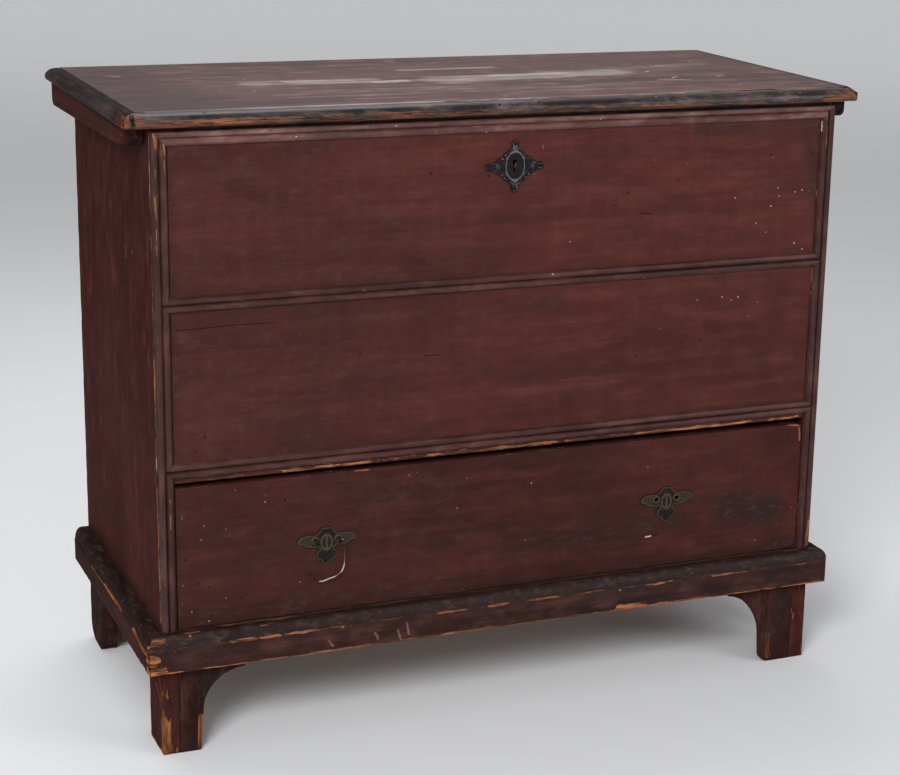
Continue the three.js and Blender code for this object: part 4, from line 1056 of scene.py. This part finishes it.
            "innerTop": beadMark(165, 140, 166.5, 180, 0.0045, 0.95),
            "outerLow": beadMark(162, 600, 162.5, 622, 0.002, 0.8),
            "innerLow": beadMark(170.6, 500, 171, 530, 0.0018, 0.7),
            "outerAll": beadMark(155, 150, 163, 630, 0.0016, 0.42),
        },
        "stain_and_shades": {"outerEdge": alongZ(beadLeftX, beadY + 0.004, 0.18, 0.85, 0.0026, 1.3)},
    },
    "moulding_right": {
        "paint": "beadUpright", "cut": (0, 0, 0.003), "crease": 35,
        "pales": {"filler": beadMark(822.5, 117, 821.5, 134, 0.003, 0.8)},
        "rubs": {
            "outer": beadMark(828, 112, 827, 150, 0.003, 0.6),
            "spot": beadMark(822, 262, 823.5, 258, 0.003, 0.9),
            "low": beadMark(808, 520, 806, 545, 0.003, 0.6),
        },
    },
    "base_moulding_front": {
        "paint": "baseLevel", "cut": (0.003, 0, 0.003), **baseCut, "soot": 0.75,
        "rubs": {
            "cornerTop": baseMark(150, 644, 163, 641, 0.0095, 1.3),
            "cornerMiddle": baseMark(150, 660, 156, 660, 0.008, 1.3),
            "cornerLow": baseMark(149, 671, 163, 671, 0.0085, 1.3),
            "spot": baseMark(174, 651, 176, 651, 0.003, 0.9),
            "filletLeft": baseMark(190, 637, 200, 635, 0.0028, 1.0),
            "filletTwo": baseMark(232, 642, 252, 639, 0.0026, 1.0),
            "filletThree": baseMark(271, 637, 280, 635, 0.0026, 1.0),
            "filletFour": baseMark(439, 613, 466, 609, 0.0022, 1.0),
            "filletFive": baseMark(490, 606, 508, 603, 0.0022, 1.0),
            "backEdge": mark(640, 573, 795, 549, 0.0026, 0.7),
            "backLeft": mark(185, 632, 300, 614, 0.0026, 0.66),
            "topOne": mark(186, 633, 199, 631, 0.003, 1.0, 1, baseY + 0.012),
            "topTwo": mark(261, 625, 273, 623, 0.0026, 1.0, 1, baseY + 0.006),
            "topSpot": mark(500, 588, 514, 586, 0.0026, 1.0, 1, baseY + 0.006),
            "chip": baseMark(618, 607.5, 644, 604, 0.006, 1.0),
            "lowEdge": along(baseCorner, (0.52, baseY, baseLow.z), 0.0055, 0.84),
            "fillet": alongX(baseLow.x, 0.52, baseY, baseFillet, 0.0026, 0.5),
        },
    },
    "base_moulding_left": {
        "paint": "baseDeep", "cut": (0, 0.003, 0.003), **baseCut, "soot": 0.8,
        "rubs": {
            "fillet": mark(91, 566, 124, 615, 0.0028, 0.66, 0, baseLeftX),
            "filletMiddle": mark(104, 583, 117, 604, 0.003, 1.0, 0, baseLeftX),
            "filletFront": mark(133, 630, 148, 660, 0.0055, 1.1, 0, baseLeftX),
            "corner": mark(147, 660, 148, 674, 0.008, 1.2, 0, baseLeftX),
            "cornerTop": along(
                (baseLow.x + 0.004, baseY, baseFillet + 0.006),
                (baseLow.x, baseY + 0.01, baseFillet), 0.008, 1.0,
            ),
            "lowEdge": along(baseCorner, (baseLow.x, 0.22, baseLow.z), 0.004, 0.56),
        },
    },
    "base_moulding_right": {
        "paint": "baseDeep", "cut": (0, 0.003, 0.003), **baseCut, "soot": 0.75,
        "rubs": {
            "lowEdge": alongY(baseHigh.x, baseY, 0.22, baseLow.z, 0.0045, 0.6),
            "fillet": alongY(baseHigh.x, baseY, 0.22, baseFillet, 0.003, 0.45),
        },
    },
}
for name, look in looks.items():
    wornCopy(name, paints[look["paint"]], look)
print("painted boards and mouldings:", len(looks))

# Unpainted boards keep their nodes' sizes, with eased edges
plainLook = {"cut": (0.03, 0.03, 0), "ease": 0.0008, "easeFrom": 0.004}
plainBoards = {
    "back_board_upper": "pineLevel", "back_board_lower": "pineLower", "well_floor": "pineLower",
    "base_rail": "pineDirtAndShade", "drawer_runner_left": "pineDeep", "drawer_runner_right": "pineDeep",
    "foot_block_left": "footBlock", "foot_block_right": "footBlock", "drawer_side_left": "pineDeep",
    "drawer_side_right": "pineDeep", "drawer_back": "pineLevel", "drawer_bottom": "pineLevel",
}
for name, paint in plainBoards.items():
    wornCopy(name, paints[paint], {**plainLook, "ease": 0.0018} if name.startswith("back") else plainLook)
print("plain boards:", len(plainBoards))


# Forged nails that hold the back boards to the sides and the well floor
nails = {
    "radius": 0.0042, "height": 0.0022, "sides": 9, "tilt": 0.12, "y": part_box("back_board_upper")[1].y,
    "x": (leftX + 0.016, rightX - 0.016), "z": (0.215, 0.33, 0.44, 0.545, 0.655, 0.75, 0.835),
    "floorZ": sum(end.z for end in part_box("well_floor")) / 2, "floorX": (-0.33, -0.11, 0.11, 0.33),
}


def makeNails():
    places = [(x, z) for x in nails["x"] for z in nails["z"]]
    places += [(x, nails["floorZ"]) for x in nails["floorX"]]
    outward = Vector((0, 1, 0)).to_track_quat("Z", "Y").to_matrix().to_4x4()
    bm = bmesh.new()
    for i, (x, z) in enumerate(places):
        tilt = Matrix.Rotation(nails["tilt"] * math.sin(i * 2.3), 4, "X")
        place = (x + 0.002 * math.sin(i * 1.7), nails["y"] + 0.0002, z + 0.003 * math.cos(i * 3.1))
        at = Matrix.Translation(place)
        bmesh.ops.create_cone(bm, cap_ends=True, segments=nails["sides"], radius1=nails["radius"],
                              radius2=nails["radius"] * 0.35, depth=nails["height"],
                              matrix=at @ outward @ tilt)
    addPiece(meshFrom(bm, "back_nails"), paints["iron"], bodyOf["back_board_upper"])


makeNails()
print("back nailed")


# Cast plates: the node's outline, cut fine, with the front raised into ornament
def ridge(value, at, width):
    return np.exp(-(((value - at) / width) ** 2))


def reliefPlate(name, paint, step, relief, flat=0.0, crest=0.001):
    bm = mergedNode(name)
    low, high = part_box(name)
    outline = []
    for edge in bm.edges:
        if edge.calc_face_angle(0) > 0.6 and all(abs(vert.co.y - low.y) < 1e-5 for vert in edge.verts):
            a, b = (vert.co for vert in edge.verts)
            steps = max(1, int((b - a).length / 0.0005))
            outline += [a.lerp(b, i / steps) for i in range(steps)]
    for axis in (0, 2):
        sliced(bm, axis, evenPlaces(low[axis], high[axis], step, step * 0.7))
    mesh = meshFrom(bm, name + "_worn")
    points, normals = meshArrays(mesh)
    front = np.abs(points[:, 1] - low.y) < 1e-5
    across = points[:, 0] - (low.x + high.x) / 2
    edgeGap = gapsTo(points, outline)
    raised = relief(across, points[:, 2], edgeGap) + 0.00012 * wobble(points, 900, 4.4)
    raised *= np.clip(edgeGap / 0.0006, 0, 1)
    points[:, 1] -= np.where(front, raised, 0)
    mesh.vertices.foreach_set("co", points.ravel())
    paintAmount(mesh, "wear", np.where(front, np.clip((raised - flat) / (crest - flat), 0, 1.1), 0.2))
    placePiece(name, mesh, paints[paint], 50)


keyholeMiddle = escutcheonMiddle.z + 0.0008


def escutcheonRelief(across, up, edgeGap):  # an oval frame about the keyhole, leaf bosses and a beaded rim
    rise = up - keyholeMiddle
    oval = np.sqrt((across / 0.0135) ** 2 + (rise / 0.0195) ** 2)
    turn = np.arctan2(rise, across)
    height = 0.0009 * ridge(oval, 1.0, 0.09) + 0.0005 * ridge(oval, 0.72, 0.07) - 0.0003 * (oval < 0.6)
    height = height + 0.0007 * ridge(edgeGap, 0.0016, 0.0007) * (0.7 + 0.5 * np.sin(turn * 46))
    for boss, bossRise in ((0.0255, 0), (-0.0255, 0), (0, 0.0235), (0, -0.0235)):
        away = np.hypot(across - boss, rise - bossRise)
        lobes = 0.6 + 0.4 * np.cos(np.arctan2(rise - bossRise, across - boss) * 6)
        height = height + 0.0011 * np.exp(-((away / 0.0052) ** 2)) * lobes
    scroll = np.abs(np.hypot(np.abs(across) - 0.0165, np.abs(rise) - 0.0125) - 0.0036)
    return height + 0.0006 * np.exp(-((scroll / 0.0011) ** 2)) + 0.0003


postBoxes = [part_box("pull_post_inner"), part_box("pull_post_outer")]
postPlaces = [(low + high) / 2 for low, high in postBoxes]
postGap = postPlaces[0].x - postPlaces[1].x
pullLine = postPlaces[0].z


def batwingRelief(across, up, edgeGap):  # rings round the post holes, a ribbed shield and a raised rim
    rise = up - pullLine
    ring = np.hypot(np.abs(across) - postGap / 2, rise)
    height = 0.0010 * ridge(ring, 0.0044, 0.0011) + 0.0006 * ridge(edgeGap, 0.0015, 0.0008)
    shield = np.hypot(across / 0.9, (rise + 0.004) / 1.25)
    height = height + 0.0008 * ridge(shield, 0.0085, 0.0013)
    height = height + 0.0007 * ridge(across, 0, 0.0016) * (shield < 0.009)
    wing = np.clip((np.abs(across) - 0.019) / 0.004, 0, 1)
    height = height + 0.0005 * wing * (0.5 + 0.5 * np.sin((np.abs(across) * 0.8 + rise * 0.6) * 1900))
    return height + 0.0002


reliefPlate("escutcheon", "slate", 0.0009, escutcheonRelief, 0.0006, 0.0015)
reliefPlate("pull_plate_left", "brass", 0.0009, batwingRelief)
reliefPlate("pull_plate_right", "brass", 0.0009, batwingRelief)

metalLook = {"cut": (0, 0, 0), "ease": 0.0003, "easeFrom": 0.0012, "reach": 0.0008, "arris": 0.7}
metalPieces = {
    "pull_post_inner": "brass", "pull_post_outer": "brass", "pull_bail": "wire", "lock_case": "iron",
    "lock_bolt": "iron", "lid_staple": "iron", "hinge_leaf_left": "iron", "hinge_leaf_right": "iron",
    "hinge_pin_left": "iron", "hinge_pin_right": "iron", "hinge_strap_left": "iron",
    "hinge_strap_right": "iron",
}
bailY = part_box("pull_bail")[0].y
bailRubs = {
    "low": mark(322, 583, 343, 567, 0.006, 1.2, 1, bailY),
    "upright": mark(342, 566, 341, 528, 0.006, 0.6, 1, bailY),
}
bailLook = {**metalLook, "arris": 0.0, "rubs": bailRubs}
for name, paint in metalPieces.items():
    wornCopy(name, paints[paint], bailLook if name == "pull_bail" else metalLook)


def bailKnob(radius):  # the small blob on the wire's free end
    points, normals = meshArrays(nodes["pull_bail"].data)
    tip = points[points[:, 0] < points[:, 0].min() + 0.0012].mean(axis=0)
    bm = bmesh.new()
    bmesh.ops.create_uvsphere(bm, u_segments=16, v_segments=10, radius=radius, matrix=Matrix.Translation(tip))
    mesh = meshFrom(bm, "bail_knob")
    mesh.shade_smooth()
    addPiece(mesh, paints["wire"], bodyOf["pull_bail"])


bailKnob(0.0014)
print("metalwork:", 4 + len(metalPieces))

# Studio: a pale round floor whose rim rises all the way round, soft lamps
studio = {
    "floor": (0.78, 0.79, 0.81), "radius": 10.0, "height": 6.0, "bend": 3.0,
    "glow": 0.2, "glowFrom": 2.5, "glowTo": 8.0, "world": 0.36,
}
lamps = {  # place, what it points at, size and power
    "key_lamp": ((-2.3, -3.2, 2.7), (0, 0, 0.4), (1.5, 1.5), 150.0),
    "fill_lamp": ((2.6, -3.0, 1.9), (0.2, 0, 0.4), (2.0, 2.0), 40.0),
    "top_lamp": ((-0.3, 1.3, 3.2), (0, 0, 0.8), (3.0, 1.6), 45.0),
}


def floorMaterial():  # the far floor and rim look as pale as the near floor, without more light on the chest
    made = bpy.data.materials.new("studio_floor")
    made.use_nodes = True
    tree = made.node_tree
    shader = tree.nodes["Principled BSDF"]
    shader.inputs["Base Color"].default_value = (*studio["floor"], 1)
    shader.inputs["Roughness"].default_value = 1.0
    shader.inputs["Specular IOR Level"].default_value = 0.0
    shader.inputs["Emission Color"].default_value = (1, 1, 1, 1)
    away = vectorCalc(tree, "LENGTH", put(tree, "TexCoord").outputs["Object"])["Value"]
    glow = spread(tree, away, studio["glowFrom"], studio["glowTo"], 0.0, studio["glow"])
    path = put(tree, "LightPath").outputs
    looked = calc(tree, "MAXIMUM", path["Is Camera Ray"], path["Is Glossy Ray"])
    seenBy = calc(tree, "MAXIMUM", looked, path["Is Transmission Ray"])
    tree.links.new(times(tree, glow, seenBy), shader.inputs["Emission Strength"])
    return made


def makeSweep():
    bm = bmesh.new()
    bmesh.ops.create_circle(bm, cap_ends=True, radius=studio["radius"], segments=96)
    raised = bmesh.ops.extrude_edge_only(bm, edges=bm.edges[:])
    moved = [part for part in raised["geom"] if isinstance(part, bmesh.types.BMVert)]
    bmesh.ops.translate(bm, verts=moved, vec=(0, 0, studio["height"]))
    fold = [edge for edge in bm.edges if len(edge.link_faces) == 2 and all(v.co.z < 1e-6 for v in edge.verts)]
    bmesh.ops.bevel(bm, geom=fold, offset=studio["bend"], offset_type="OFFSET", segments=24, profile=0.5,
                    affect="EDGES", material=-1)
    mesh = meshFrom(bm, "studio_sweep")
    mesh.polygons.foreach_set("use_smooth", [len(face.vertices) == 4 for face in mesh.polygons])
    mesh.materials.append(floorMaterial())
    sweep = bpy.data.objects.new("studio_sweep", mesh)
    scene.collection.objects.link(sweep)


def softLamp(name, place, target, size, power):
    data = bpy.data.lights.new(name, "AREA")
    data.shape = "RECTANGLE"
    data.size, data.size_y = size
    data.energy = power
    lamp = bpy.data.objects.new(name, data)
    lamp.location = place
    lamp.rotation_mode = "QUATERNION"
    lamp.rotation_quaternion = (Vector(target) - Vector(place)).to_track_quat("-Z", "Y")
    scene.collection.objects.link(lamp)


def makeLight():
    world = bpy.data.worlds.new("studio_world")
    world.use_nodes = True
    background = world.node_tree.nodes["Background"].inputs
    background["Color"].default_value = (1, 1, 1, 1)
    background["Strength"].default_value = studio["world"]
    scene.world = world
    for name, settings in lamps.items():
        softLamp(name, *settings)


makeSweep()
makeLight()
print("studio ready")
